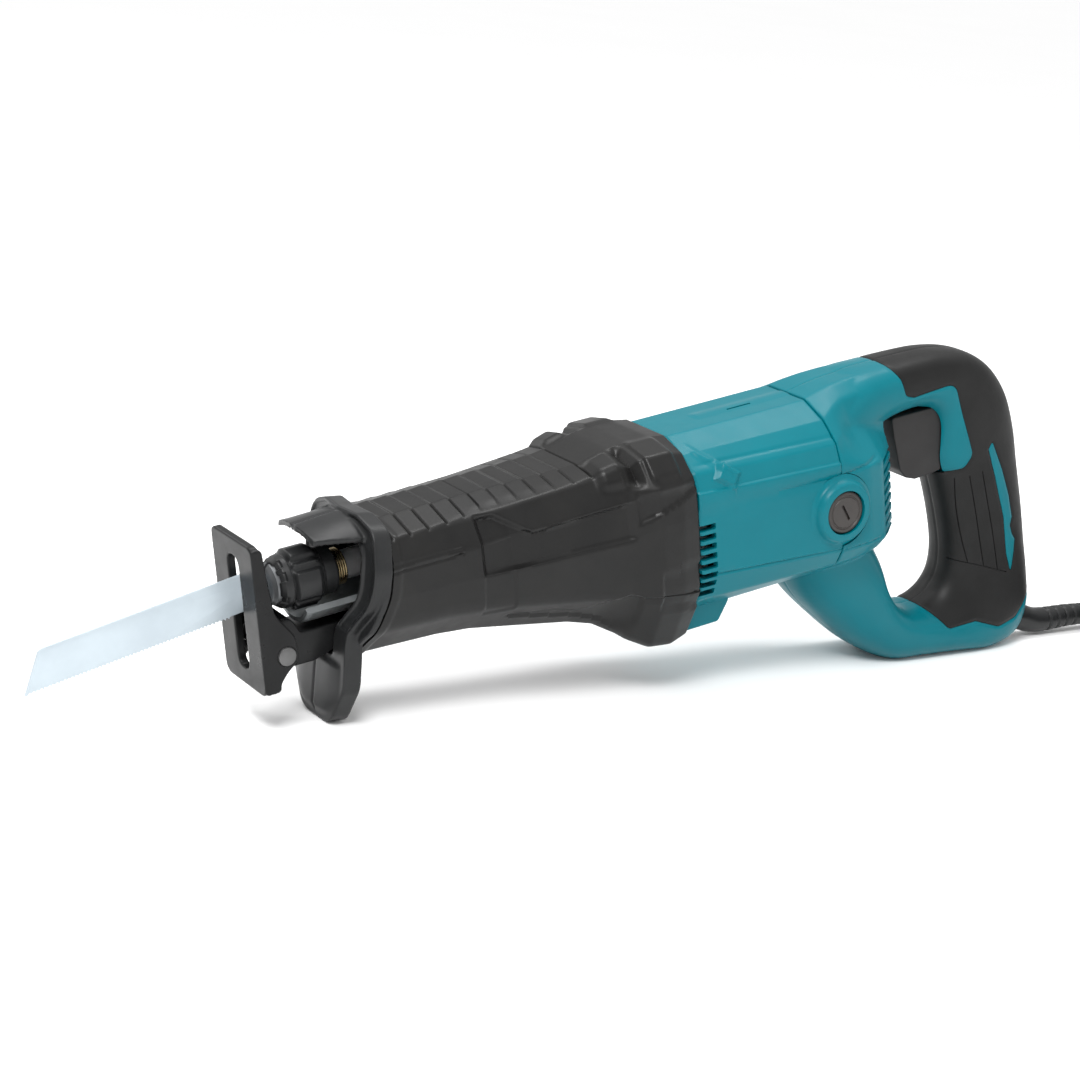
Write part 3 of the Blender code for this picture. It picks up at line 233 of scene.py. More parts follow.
def make_materials():
    brushed = (0.05, 1.0, 1.0)
    return {
        "teal": surface("teal_plastic", (0.0, 0.128, 0.160), (0.0, 0.121, 0.152), 0.33, 0.04,
                        grain=1500.0, relief=0.06, depth=0.00005, specular=0.16),
        "boot": surface("boot_rubber", (0.006, 0.006, 0.006), (0.0085, 0.0083, 0.008), 0.36, 0.05,
                        grain=1300.0, relief=0.1, specular=0.22),
        "grip": surface("grip_rubber", (0.007, 0.007, 0.007), (0.010, 0.010, 0.010), 0.45, 0.05,
                        grain=1600.0, relief=0.25, specular=0.18),
        "black": surface("black_plastic", (0.010, 0.0105, 0.011), (0.014, 0.0145, 0.015), 0.34, 0.05,
                         grain=1500.0, relief=0.1, specular=0.24),
        "trigger": surface("trigger_plastic", (0.012, 0.011, 0.011), (0.016, 0.015, 0.015), 0.45,
                           grain=1700.0, relief=0.2, specular=0.3),
        "cap": surface("cap_plastic", (0.022, 0.018, 0.016), (0.029, 0.024, 0.021), 0.5,
                       grain=1500.0, relief=0.2),
        "steel": surface("ground_steel", (0.56, 0.56, 0.57), (0.50, 0.50, 0.51), 0.32, 0.06, 0.75,
                         500.0, 0.15, stretch=brushed),
        "blade": surface("blade_steel", (0.42, 0.48, 0.52), (0.38, 0.435, 0.475), 0.40, 0.05, 0.3,
                         700.0, 0.15, stretch=brushed),
        "blacksteel": surface("black_steel", (0.005, 0.0052, 0.0054), (0.008, 0.0083, 0.0086), 0.32,
                              0.06, 0.0, 1200.0, 0.12, specular=0.17),
        "nose": surface("nose_steel", (0.15, 0.155, 0.16), (0.12, 0.125, 0.13), 0.5, 0.06, 0.8,
                        700.0, 0.2),
        "cast": surface("cast_alloy", (0.22, 0.235, 0.24), (0.18, 0.19, 0.195), 0.42, 0.07, 0.9,
                        1000.0, 0.4, 0.00012),
        "pin": surface("pin_steel", (0.10, 0.10, 0.10), (0.13, 0.13, 0.13), 0.45, 0.06, 0.8,
                       1100.0, 0.3),
        "spring": surface("spring_wire", (0.34, 0.27, 0.15), (0.26, 0.20, 0.11), 0.3, 0.06, 1.0,
                          900.0, 0.1),
        "bronze": surface("bronze", (0.42, 0.27, 0.12), (0.35, 0.22, 0.10), 0.38, 0.06, 1.0),
        "copper": surface("copper_wire", (0.60, 0.25, 0.13), (0.48, 0.19, 0.09), 0.38, 0.06, 1.0,
                          1400.0, 0.6, 0.0002),
        "iron": surface("sheet_iron", (0.16, 0.16, 0.17), (0.11, 0.11, 0.12), 0.5, 0.08, 0.8,
                        1500.0, 0.4, 0.0002, (1.0, 0.02, 0.02)),
        "carbon": surface("brush_carbon", (0.03, 0.03, 0.03), (0.04, 0.04, 0.04), 0.7),
        "cord": surface("cord_rubber", (0.019, 0.019, 0.019), (0.024, 0.024, 0.024), 0.48, 0.05,
                        grain=1100.0, relief=0.15),
    }


# ---------------------------------------------------------------- meshes

def solid(name, points, faces):
    """A mesh drawn in the present frame, moved into the model's."""
    place = np.array(FRAMES[drawn_in[0]])
    moved = np.asarray(points, float) @ place[:3, :3].T + place[:3, 3]
    mesh = bpy.data.meshes.new(name)
    mesh.from_pydata(moved.tolist(), [], faces)
    bm = bmesh.new()
    bm.from_mesh(mesh)
    bmesh.ops.remove_doubles(bm, verts=bm.verts, dist=1e-7)
    bmesh.ops.recalc_face_normals(bm, faces=bm.faces)
    bm.to_mesh(mesh)
    bm.free()
    return add_object(name, mesh)


def skin(name, rings, closed=False):
    """A closed surface through rings of points: capped at its ends, or joined end to start."""
    rings = np.asarray(rings, float)
    count, around = rings.shape[:2]
    index = np.arange(count * around).reshape(count, around)
    faces = []
    last = count if closed else count - 1
    for i in range(last):
        a = index[i]
        b = index[(i + 1) % count]
        quads = np.stack([a, np.roll(a, -1), np.roll(b, -1), b], axis=1)
        faces += quads.tolist()
    if not closed:
        faces.append(index[0][::-1].tolist())
        faces.append(index[-1].tolist())
    return solid(name, rings.reshape(-1, 3), faces)


def evaluated(obj):
    """Applies an object's modifiers to its mesh."""
    graph = bpy.context.evaluated_depsgraph_get()
    mesh = bpy.data.meshes.new_from_object(obj.evaluated_get(graph))
    old = obj.data
    obj.modifiers.clear()
    obj.data = mesh
    bpy.data.meshes.remove(old)
    return obj


def combine(obj, other, operation="DIFFERENCE", solver="MANIFOLD"):
    """Cuts one object by another, or joins or crosses them; the other is used up."""
    mod = obj.modifiers.new("combine", "BOOLEAN")
    mod.operation = operation
    mod.solver = solver
    mod.object = other
    evaluated(obj)
    bpy.data.objects.remove(other, do_unlink=True)
    return obj


def cut(obj, *cutters):
    for cutter in cutters:
        combine(obj, cutter)


def twin(obj, name):
    """A second object with a copy of the mesh."""
    return add_object(name, obj.data.copy())


def bevelled(obj, width, segments=3, angle=30):
    mod = obj.modifiers.new("bevel", "BEVEL")
    mod.width = width * MM
    mod.segments = segments
    mod.limit_method = "ANGLE"
    mod.angle_limit = math.radians(angle)
    mod.harden_normals = False
    return evaluated(obj)


def finish(obj, key, node, body, angle=35):
    """Names a piece's look, what it stands for and what it moves with."""
    obj.data.materials.clear()
    obj.data.materials.append(LOOKS[key])
    obj.data.shade_smooth()
    obj.data.set_sharp_from_angle(angle=math.radians(angle))
    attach(obj, body)
    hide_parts(*((node,) if isinstance(node, str) else node))
    return obj


def smooth01(low, high, value):
    t = np.clip((value - low) / (high - low), 0.0, 1.0)
    return t * t * (3 - 2 * t)


def rounded(corners, steps=6, straight=1):
    """A closed outline of (u, v, radius) corners. Straight runs are cut into equal parts."""
    count = len(corners)
    ends = []
    for i, (u, v, radius) in enumerate(corners):
        here = Vector((u, v))
        before = Vector(corners[i - 1][:2]) - here
        after = Vector(corners[(i + 1) % count][:2]) - here
        if radius <= 0:
            ends.append([here])
            continue
        half = before.angle(after) / 2
        reach = min(radius / math.tan(half), before.length * 0.49, after.length * 0.49)
        first = here + before.normalized() * reach
        last = here + after.normalized() * reach
        ends.append([first * (1 - t) ** 2 + here * 2 * t * (1 - t) + last * t ** 2
                     for t in (k / steps for k in range(steps + 1))])
    points = []
    for i, bend in enumerate(ends):
        points += bend
        following = ends[(i + 1) % count][0]
        points += [bend[-1].lerp(following, k / straight) for k in range(1, straight)]
    return [tuple(p) for p in points]


def slab(name, outline, plane, start, end, holes=()):
    """A flat outline given a thickness; holes are cut through it."""
    low, high = sorted((start, end))
    spots = []
    for across in (low, high):
        for u, v in outline:
            spots.append({"xz": (u, across, v), "yz": (across, u, v), "xy": (u, v, across)}[plane])
    n = len(outline)
    faces = [list(range(n))[::-1], list(range(n, 2 * n))]
    faces += [[i, (i + 1) % n, n + (i + 1) % n, n + i] for i in range(n)]
    obj = solid(name, spots, faces)
    for i, hole in enumerate(holes):
        combine(obj, slab("%s_hole_%d" % (name, i), hole, plane, low - 1, high + 1))
    return obj


def box(name, low, high):
    outline = [(low[0], low[2]), (high[0], low[2]), (high[0], high[2]), (low[0], high[2])]
    return slab(name, outline, "xz", low[1], high[1])


def lathe(name, profile, axis, at=(0, 0, 0), steps=64, sign=1):
    """A solid of revolution of (radius, height) points about a line along an axis."""
    angles = 2 * np.pi * np.arange(steps) / steps
    rings = []
    for radius, height in profile:
        u = max(radius, 1e-4) * np.cos(angles)
        v = max(radius, 1e-4) * np.sin(angles)
        h = np.full(steps, height * sign)
        rings.append({"x": np.stack([h, u, v], 1), "y": np.stack([u, h, v], 1),
                      "z": np.stack([u, v, h], 1)}[axis] + np.array(at))
    return skin(name, rings)


def sweep(name, path, radii, around=20):
    """A round tube along points."""
    path = np.asarray(path, float)
    radii = np.broadcast_to(radii, (len(path),))
    ahead = np.gradient(path, axis=0)
    ahead /= np.linalg.norm(ahead, axis=1)[:, None]
    side = np.cross(ahead[0], (0.0, 1.0, 0.0))
    if np.linalg.norm(side) < 0.1:
        side = np.cross(ahead[0], (0.0, 0.0, 1.0))
    angles = 2 * np.pi * np.arange(around) / around
    rings = []
    for centre, way, radius in zip(path, ahead, radii):
        side = side - way * side.dot(way)
        side /= np.linalg.norm(side)
        other = np.cross(way, side)
        rings.append(centre + radius * (np.outer(np.cos(angles), side)
                                        + np.outer(np.sin(angles), other)))
    return skin(name, rings)


# ---------------------------------------------------------------- body skins

def blend_sections(keys, stations, soften):
    """Corner tables between keyed sections: straight in between, then softened along X."""
    at = np.array([key[0] for key in keys])
    table = np.array([np.array(key[1], float).ravel() for key in keys])
    step = stations[1] - stations[0]
    reach = int(round(3 * soften / step))
    padded = np.concatenate([stations[0] - step * np.arange(reach, 0, -1), stations,
                             stations[-1] + step * np.arange(1, reach + 1)])
    rows = np.stack([np.interp(padded, at, column) for column in table.T], 1)
    weights = np.exp(-0.5 * (np.arange(-reach, reach + 1) * step / soften) ** 2)
    weights /= weights.sum()
    rows = np.stack([np.convolve(c, weights, "valid") for c in rows.T], 1)
    return rows.reshape(len(stations), -1, 3)


def body_rings(keys, stations, soften=1.5, bend=7, straight=9):
    """Rings of points round half-outline sections, mirrored across the middle plane."""
    halves = blend_sections(keys, stations, soften)
    rings = []
    for x, half in zip(stations, halves):
        corners = [tuple(c) for c in half] + [(-u, v, r) for u, v, r in half[::-1]]
        rings.append([(x, u, v) for u, v in rounded(corners, bend, straight)])
    return np.array(rings)


def ring_normals(rings):
    along = np.gradient(rings, axis=0)
    around = np.roll(rings, -1, axis=1) - np.roll(rings, 1, axis=1)
    normals = np.cross(around, along)
    normals /= np.linalg.norm(normals, axis=2)[..., None] + 1e-12
    centre = rings.mean(axis=1, keepdims=True)
    facing = np.sign(((rings - centre) * normals).sum(axis=2).mean())
    return normals * facing


def raised(rings, relief):
    """Rings of a body skin, moved out along their normals by a relief."""
    x, y, z = np.moveaxis(rings, -1, 0)
    return rings + ring_normals(rings) * relief(x, y, z)[..., None]


def oval(angles, power):
    """Points round a circle, squared off by a power under one."""
    return (np.sign(turn) * np.abs(turn) ** power for turn in (np.cos(angles), np.sin(angles)))


def dent(value, width):
    """A soft V of depth one and this width, centred on value zero."""
    return np.clip(1 - np.abs(value) / (width / 2), 0, 1)


def tube(name, rings, wall):
    """A body skin with thickness: its inside follows it, a wall's width in."""
    inner = rings[:: max(1, (len(rings) - 1) // 6)]
    if inner[-1][0][0] != rings[-1][0][0]:
        inner = np.concatenate([inner, rings[-1:]])
    middle = inner.mean(axis=1, keepdims=True)
    flat = inner - middle
    flat[..., 0] = 0
    length = np.linalg.norm(flat, axis=2, keepdims=True)
    inner = inner - flat / length * wall
    return skin(name, np.concatenate([rings, inner[::-1]]), closed=True)


BOOT_FRONT = 53.3               # along the ground, where the guard isn't swept back
BOOT_WALL = 3.4
BUTTON_X = 88.0
BOOT_KEYS = (
    (46, ((11, 22, 5), (27, 17, 5), (33.4, 6, 12), (33.8, -9, 12), (32.8, -22, 12), (15, -38.5, 9))),
    (90, ((11, 22.3, 5), (27.3, 17, 5), (34, 6, 12), (34.5, -9, 12), (33.5, -24, 12),
          (15, -40.5, 9))),
    (107, ((11.5, 22.5, 5), (27.5, 17.5, 5), (34.4, 6, 10), (35.4, -10, 8), (34, -26, 12),
           (16, -42, 9))),
    (125, ((12, 22.7, 5), (27.8, 18, 4), (34.8, 7, 4), (36.6, -10, 4), (35.6, -28, 10),
           (17, -45.5, 9))),
    (158, ((13, 23, 5), (28.8, 20, 4), (36.4, 7.5, 4), (38.7, -10, 4), (37.5, -34, 8),
           (20, -51.5, 9))),
    (171, ((14, 23.4, 5), (29, 21, 4), (37.4, 8, 4), (39.6, -10, 4), (38.4, -36.5, 6),
           (22, -55.5, 9))),
    (184, ((14.5, 27.0, 3), (31.0, 23.8, 4), (38.8, 8.6, 4), (40.6, -10, 4), (40.2, -38.5, 4),
           (25, -64, 8))),
    (188, ((15, 27.8, 3), (32, 24.2, 4), (40.0, 9.5, 4), (41.4, -9, 4), (41.0, -40, 3),
           (25.5, -67.5, 8))),
    (199, ((16, 28.6, 3), (33.6, 25, 3), (44.0, 12, 4), (44.7, -6, 4), (44.2, -42.5, 3),
           (27, -74, 7))),
    (211, ((16, 28.6, 3), (33.6, 25, 3), (44.0, 12, 4), (44.7, -6, 4), (44.2, -44.5, 3),
           (27, -75.8, 7))),
    (221, ((16, 27.0, 3), (30.5, 21.8, 4), (41.4, 10, 4), (42.2, -6, 4), (42.6, -46, 3),
           (26, -73.2, 7))),
)
BAND_START, BAND_PITCH, BANDS = 65.5, 9.6, 12


def lean(across, high):
    """How far the hand guard's collar is swept back, in the upright frame."""
    side = 0.5 + 0.5 * np.minimum(1.0, np.abs(across) / 28.0)
    return 6.7 * smooth01(-22.0, 8.0, high) * side


def boot_relief(x, y, z):
    """How far the boot's outside stands proud of its smooth sections."""
    side = np.abs(y)
    depth = np.zeros_like(x)
    # grip bands over the top, each rising a little towards its rear groove
    share = (x - BAND_START) / BAND_PITCH
    nearest = np.clip(np.round(share), 0, BANDS - 1)
    foot = np.interp(x, (60, 95, 115, 172), (14.8, 16.2, 18.2, 20.2))
    top = smooth01(foot, foot + 1.8, z) * smooth01(57.5, 60, x) * (1 - smooth01(171.0, 174, x))
    groove = dent((share - nearest) * BAND_PITCH, 1.8)
    rise = np.mod(share, 1.0)
    depth -= top * (1.0 * groove - 0.6 * rise * (1 - smooth01(0.92, 1.0, rise)))
    # a pair of fine grooves along the front of each side
    run = smooth01(60, 62, x) * (1 - smooth01(97, 99, x)) * (side > 30)
    depth -= run * 0.75 * (dent(z - 6.3, 1.5) + dent(z - 3.9, 1.3))
    # the scoop, which runs back as a sunk panel under a slanting edge
    upper = np.interp(x, (107, 117, 134, 188), (17.5, 16.5, 5.2, 8.2))
    sunk = np.interp(x, (106.5, 109.5, 123, 137, 183, 187.5), (0, 3.3, 3.3, 2.0, 1.5, 0))
    wide = smooth01(-10.6, -8.6, z) * (1 - smooth01(upper - 1.4, upper + 0.6, z)) * (side > 24)
    depth -= sunk * wide
    depth -= 0.6 * smooth01(106.5, 108, x) * (1 - smooth01(122, 123.5, x)) * smooth01(-31, -29.5, z) \
        * (1 - smooth01(-10.5, -9, z)) * (side > 26)
    # two humps on each shoulder with a notch between them
    shoulder = smooth01(15, 20, side) * smooth01(13, 18, z)
    depth += shoulder * 2.2 * smooth01(170, 177, x) * (1 - smooth01(183, 187, x))
    depth -= shoulder * 3.4 * dent(x - 190.5, 8.0)
    depth += shoulder * 1.2 * smooth01(196, 198, x) * (1 - smooth01(210, 214, x))
    # ledges on the flank of the gear bump
    flank = smooth01(187, 189.5, x) * (side > 36)
    edge = 1.2 + 0.33 * (x - 200)
    depth -= flank * 1.3 * smooth01(edge - 1, edge + 0.4, z) * (1 - smooth01(8, 13, z))
    depth -= flank * 0.9 * dent(z + 41.5 + 0.12 * (x - 190), 2.4)
    low_edge = -48.0 - 0.25 * (x - 198)
    low = smooth01(197, 199, x) * (side > 27) * (z < -30)
    depth -= low * 1.5 * smooth01(low_edge - 1.2, low_edge, z)
    ledge = np.interp(x, (118, 121, 146, 158, 182, 197), (-33, -34, -37, -41, -36.5, -42))
    under = smooth01(119, 124, x) * (1 - smooth01(186, 190, x)) * (side > 26)
    depth -= under * 1.0 * (1 - smooth01(ledge - 1.6, ledge, z)) * smooth01(-60, -52, z)
    # raised collar behind the guard and a softened rim at the rear
    high = x * LONG.z + z * UP.z
    collar = x * LONG.x + z * UP.x - BOOT_FRONT - lean(y, high)
    depth += 0.8 * (1 - smooth01(3.0, 6.0, collar))
    depth -= 1.0 * smooth01(219.4, 221.0, x) ** 2
    return depth


def make_boot():
    stations = np.linspace(BOOT_KEYS[0][0], BOOT_KEYS[-1][0], 290)
    rings = body_rings(BOOT_KEYS, stations, 0.9, bend=8, straight=14)
    boot = tube("boot_skin", raised(rings, boot_relief), BOOT_WALL)
    combine(boot, lathe("button_way", [(6.5, -30), (6.5, -60)], "z", (BUTTON_X, 0, 0), 48))
    # its front edge follows the swept-back guard
    drawn_in[0] = "upright"
    across = np.linspace(-60, 60, 61)
    rings = []
    for high in np.linspace(-90, 60, 76):
        level = np.full_like(across, high)
        edge = np.stack([BOOT_FRONT + lean(across, level), across, level], 1)
        rings.append(np.concatenate([edge, [(0, 60, high), (0, -60, high)]]))
    front = skin("boot_front_cut", rings)
    drawn_in[0] = "saw"
    combine(boot, front)
    return finish(boot, "boot", "boot", "tool_body", 40)


HOUSING_KEYS = (
    (221.3, ((15, 26, 4), (28, 20, 5), (38, 13, 5), (41.6, 3.4, 5), (42.3, -37.5, 3),
             (36.5, -52, 5), (20, -64, 8))),
    (262, ((15.5, 26, 4), (29, 19.6, 5), (39.2, 11, 5), (42.6, 1.6, 5), (43.2, -41, 3),
           (37.3, -53, 5), (20, -64, 8))),
    (303.7, ((15.5, 26.2, 4), (30, 19.3, 5), (40.2, 9.5, 5), (43.6, 0, 5), (44, -44.4, 3),
             (38, -54, 5), (20, -64, 8))),
)
HOUSING_WALL = 4.0
BRUSH_X, MOTOR_Z = 303.0, -24.0
VENTS, VENT_LOW, VENT_PITCH, VENT_HIGH = 8, -49.7, 4.9, 3.1


def housing_relief(x, y, z):
    """How far the motor housing's outside stands proud of its smooth sections."""
    side = np.abs(y)
    wall = side > 30
    along = (x - 221) / 82
    depth = np.zeros_like(x)
    # the ledge and groove along the side
    ridge = 3.4 - 3.4 * along
    under = -3.0 - 2.0 * along
    depth += wall * 0.9 * smooth01(under - 0.9, under, z) * (1 - smooth01(ridge, ridge + 1.3, z))
    depth -= wall * 0.9 * dent(z - under + 1.9, 2.6)
    low = -38.0 - 6.5 * along
    depth -= wall * 0.8 * dent(z - low, 2.0)
    # the faceted bump where the upper ledge begins
    bump = np.clip(1 - np.abs(x - 239 + 0.35 * (z - 8.5)) / 8.5 - np.abs(z - 8.5) / 7.5, 0, 1)
    depth += wall * 2.6 * np.minimum(bump * 2.2, 0.9)
    fin = np.clip(1 - np.abs(z - 19 + 0.75 * (x - 229)) / 3.0, 0, 1)
    depth += 0.9 * fin * smooth01(226, 229, x) * (1 - smooth01(238, 244, x)) * (side > 22)
    upper = smooth01(221, 236, x) * (side > 22)
    depth -= upper * 0.45 * dent(z - 15.5 + 3.0 * along, 2.0)
    # raised strip along the top with its slot
    strip = smooth01(246, 250, x) * (1 - smooth01(3.4, 4.4, side)) * (z > 20)
    depth += 0.5 * strip
    depth -= 0.7 * (1 - smooth01(221.3, 222.4, x)) + 0.7 * smooth01(302.7, 303.7, x)
    return depth


def make_housing():
    stations = np.linspace(HOUSING_KEYS[0][0], HOUSING_KEYS[-1][0], 150)
    rings = body_rings(HOUSING_KEYS, stations, 0.8, bend=7, straight=14)
    housing = tube("motor_housing_skin", raised(rings, housing_relief), HOUSING_WALL)
    foot = slab("foot", rounded([(221.3, -50, 0), (221.3, -72, 2), (241, -72, 3), (248, -62, 6),
                                 (248, -50, 0)]), "xz", -25, 25)
    bevelled(foot, 2.5, 4)
    combine(housing, foot, "UNION")
    boss = [(0, 48.2), (12.6, 48.2), (14.4, 47.9), (15.4, 47.0), (15.9, 45.4), (16.6, 44.2),
            (18.5, 43.2), (18.5, 0)]
    well = [(11.2, 60), (11.2, 43.2), (9.6, 42), (9.6, 5)]
    for name, sign in SIDES:
        dome = lathe("boss_" + name, boss, "y", (BRUSH_X, 0, MOTOR_Z), 96, sign=sign)
        combine(housing, dome, "UNION")
        combine(housing, lathe("well_" + name, well, "y", (BRUSH_X, 0, MOTOR_Z), 96, sign=sign))
    combine(housing, lathe("motor_bore", [(36.2, 200), (36.2, 340)], "x", (0, 0, MOTOR_Z), 96))
    for i in range(VENTS):
        low = VENT_LOW + VENT_PITCH * i
        vent = rounded([(220.0, low, 0), (230.0, low, 0.8), (230.0, low + VENT_HIGH, 0.8),
                        (220.0, low + VENT_HIGH, 0)], 3)
        for name, sign in SIDES:
            combine(housing, slab("vent", vent, "xz", sign * 33, sign * 60))
    combine(housing, box("top_slot", (266, -3.2, 24.6), (280, -2.2, 40)))
    combine(housing, handle_loop("handle_notch", -0.5, overrun=1.0))
    return finish(housing, "teal", "motor_housing", "tool_body", 32)


# ---------------------------------------------------------------- handle

HANDLE_STATIONS = (
    ((322, 27.0), (326, -18.0), 26.0),
    ((338, 31.0), (342, -6.0), 22.5),
    ((354, 31.5), (355, 1.0), 20.0),
    ((374, 31.5), (372, 3.5), 19.0),
    ((394, 30.5), (383, 2.0), 18.5),
    ((412, 26.0), (389, -3.0), 18.5),
    ((427, 16.0), (391, -10.0), 18.5),
    ((438, 0.0), (390, -19.0), 18.5),
    ((444, -20.0), (389, -29.0), 18.2),
    ((447, -42.0), (393, -43.0), 17.5),
    ((450, -64.0), (397, -62.0), 17.2),
    ((452, -86.0), (399, -80.0), 17.4),
    ((454, -107.0), (397, -93.0), 18.0),
    ((454, -124.0), (391, -101.0), 18.8),
    ((446, -138.5), (383, -105.0), 19.5),
    ((427, -142.6), (376, -106.0), 20.5),
    ((404, -138.4), (370, -105.0), 21.5),
    ((378, -133.7), (364, -102.0), 22.5),
    ((356, -129.8), (358, -95.0), 23.5),
    ((338, -118.5), (353, -84.0), 24.5),
    ((320, -101.0), (349, -68.0), 25.5),
    ((303, -81.0), (338, -48.0), 27.0),
    ((294, -62.0), (324, -38.0), 28.0),
)
REAR_KEYS = (
    (304.0, ((15, 26.6, 4), (30, 19.8, 5), (40.2, 9.8, 5), (43.6, 0, 5), (44, -44.4, 3),
             (38, -54, 5), (20, -64.3, 8))),
    (312.0, ((14, 28.2, 4), (26, 22.5, 5), (34.5, 12, 6), (43.2, -2, 4), (44, -45, 3),
             (38, -54, 5), (20, -64.3, 8))),
    (322.0, ((13, 29.5, 4), (22, 24, 5), (27.5, 10, 6), (42.4, -5, 4), (43.4, -46, 3),
             (37, -54, 5), (20, -64, 8))),
    (333.0, ((12, 30.2, 4), (20.5, 24, 5), (24, 8, 6), (39, -7, 4), (40, -47, 3),
             (33, -54, 5), (20, -63, 8))),
    (342.0, ((12, 30.2, 4), (20, 22, 5), (22, 4, 6), (31, -8, 4), (32, -48, 3), (27, -54, 5),
             (17, -61, 8))),
    (350.0, ((11, 26, 4), (17, 18, 5), (19, 0, 6), (23, -9, 4), (24, -48, 3), (20, -54, 4),
             (14, -59, 6))),
)


def handle_loop(name, inset=0.0, overrun=0.0, fine=6, around=64, power=2.7):
    """The handle's loop: soft-cornered ovals along a smooth run of stations."""
    stations = np.array([[*outer, *inner, half] for outer, inner, half in HANDLE_STATIONS])
    steps = np.linspace(0, len(stations) - 1, (len(stations) - 1) * fine + 1)
    rows = np.stack([spline(steps, column) for column in stations.T], 1)
    cosine, sine = oval(2 * np.pi * (np.arange(around) + 0.5) / around, 2 / power)
    rings = []
    for outer_x, outer_z, inner_x, inner_z, half in rows:
        middle = np.array([(outer_x + inner_x) / 2, (outer_z + inner_z) / 2])
        deep = np.array([(outer_x - inner_x) / 2, (outer_z - inner_z) / 2])
        length = np.linalg.norm(deep)
        deep *= (length - inset) / length
        rings.append(np.stack([middle[0] + deep[0] * cosine, (half - inset) * sine,
                               middle[1] + deep[1] * cosine], 1))
    if overrun:
        way = rings[-1].mean(axis=0) - rings[-2].mean(axis=0)
        rings.append(rings[-1] + way / np.linalg.norm(way) * overrun)
    return skin(name, rings)


def spline(steps, values):
    """A smooth curve through evenly spaced values."""
    padded = np.concatenate([[2 * values[0] - values[1]], values, [2 * values[-1] - values[-2]]])
    i = np.clip(np.floor(steps).astype(int), 0, len(values) - 2)
    t = steps - i
    a, b, c, d = (padded[i + k] for k in range(4))
    return 0.5 * (2 * b + (c - a) * t + (2 * a - 5 * b + 4 * c - d) * t ** 2
                  + (3 * b - a - 3 * c + d) * t ** 3)


OVERMOULD = ((350, 45, 0), (356.5, 34, 3), (362, 24, 5), (364.5, 15, 4), (370, 13, 3),
             (397, 14.5, 7), (409, -27, 6), (404, -33.5, 4), (376, -36.5, 3), (373, -60, 0),
             (366, -97.5, 0), (378, -104, 6), (390, -118.8, 5), (409, -119.8, 5), (425, -127.5, 6),
             (438, -126, 6), (475, -98, 0), (475, 45, 0))
STRIP = ((421.6, -22.6, 1), (419, -26.5, 1), (424, -43, 8), (430, -67, 8), (431.6, -88, 5),
         (434.5, -100, 1), (437.4, -88, 4), (438.4, -81.5, 1), (436.2, -78, 1.5), (434.8, -73, 1.5),
         (436.4, -68.5, 1), (434.2, -56, 6), (429, -40, 8))
GRIP_LINES = (((399, -38.5), (401, -55), (404, -72), (407, -87)),
              ((407, -38.5), (411, -58), (414, -77), (416, -91)),
              ((415, -37.5), (418, -52), (422, -73), (425, -95)),
              ((399.5, -85), (407.5, -87.6), (416, -91), (431, -98)))
TRIGGER_HALF = 10.8
SLOT_TURN = math.radians(65)    # of the slot in each brush cap
HANDLE_SCREWS = ((366.0, 17.0), (424.0, -50.0), (428.0, -98.0), (350.0, -104.0))


def grown(outline, by):
    """The outline moved outwards by a distance."""
    points = np.array(outline)
    before = points - np.roll(points, 1, axis=0)
    after = np.roll(points, -1, axis=0) - points
    before /= np.linalg.norm(before, axis=1)[:, None] + 1e-12
    after /= np.linalg.norm(after, axis=1)[:, None] + 1e-12
    area = (points[:, 0] * np.roll(points[:, 1], -1) - np.roll(points[:, 0], -1) * points[:, 1]).sum()
    across = np.stack([before[:, 1] + after[:, 1], -before[:, 0] - after[:, 0]], 1)
    across /= np.linalg.norm(across, axis=1)[:, None] + 1e-12
    miter = np.maximum(0.5, across[:, 0] * after[:, 1] - across[:, 1] * after[:, 0])
    return (points + across * (by * math.copysign(1, area) / miter)[:, None]).tolist()


def distance_to(points, outline):
    """Distance from each point in the side plane to an outline."""
    starts = np.array(outline, float)
    best = np.full(len(points), 1e9)
    for a, b in zip(starts, np.roll(starts, -1, axis=0)):
        way = b - a
        t = np.clip(((points - a) @ way) / (way @ way + 1e-12), 0, 1)
        best = np.minimum(best, np.linalg.norm(points - a - t[:, None] * way, axis=1))
    return best


def to_tool(mesh):
    """A mesh's points and normals in the tool's frame, in millimetres."""
    count = len(mesh.vertices)
    spots = np.empty(count * 3)
    mesh.vertices.foreach_get("co", spots)
    turn = np.array(TO_WORLD.to_3x3().normalized())
    spots = (spots.reshape(-1, 3) - np.array(ORIGIN)) @ turn / MM
    normals = np.empty(count * 3)
    mesh.vertex_normals.foreach_get("vector", normals)
    return spots, normals.reshape(-1, 3) @ turn


def from_tool(mesh, spots):
    turn = np.array(TO_WORLD.to_3x3().normalized())
    moved = (spots * MM) @ turn.T + np.array(ORIGIN)
    mesh.vertices.foreach_set("co", moved.ravel())
    mesh.update()


def melt(obj, voxel, passes):
    """Joins what overlaps into one skin and softens its creases."""
    mod = obj.modifiers.new("join", "REMESH")
    mod.mode = "VOXEL"
    mod.voxel_size = voxel * MM
    mod = obj.modifiers.new("soften", "SMOOTH")
    mod.factor = 0.5
    mod.iterations = passes
    return evaluated(obj)


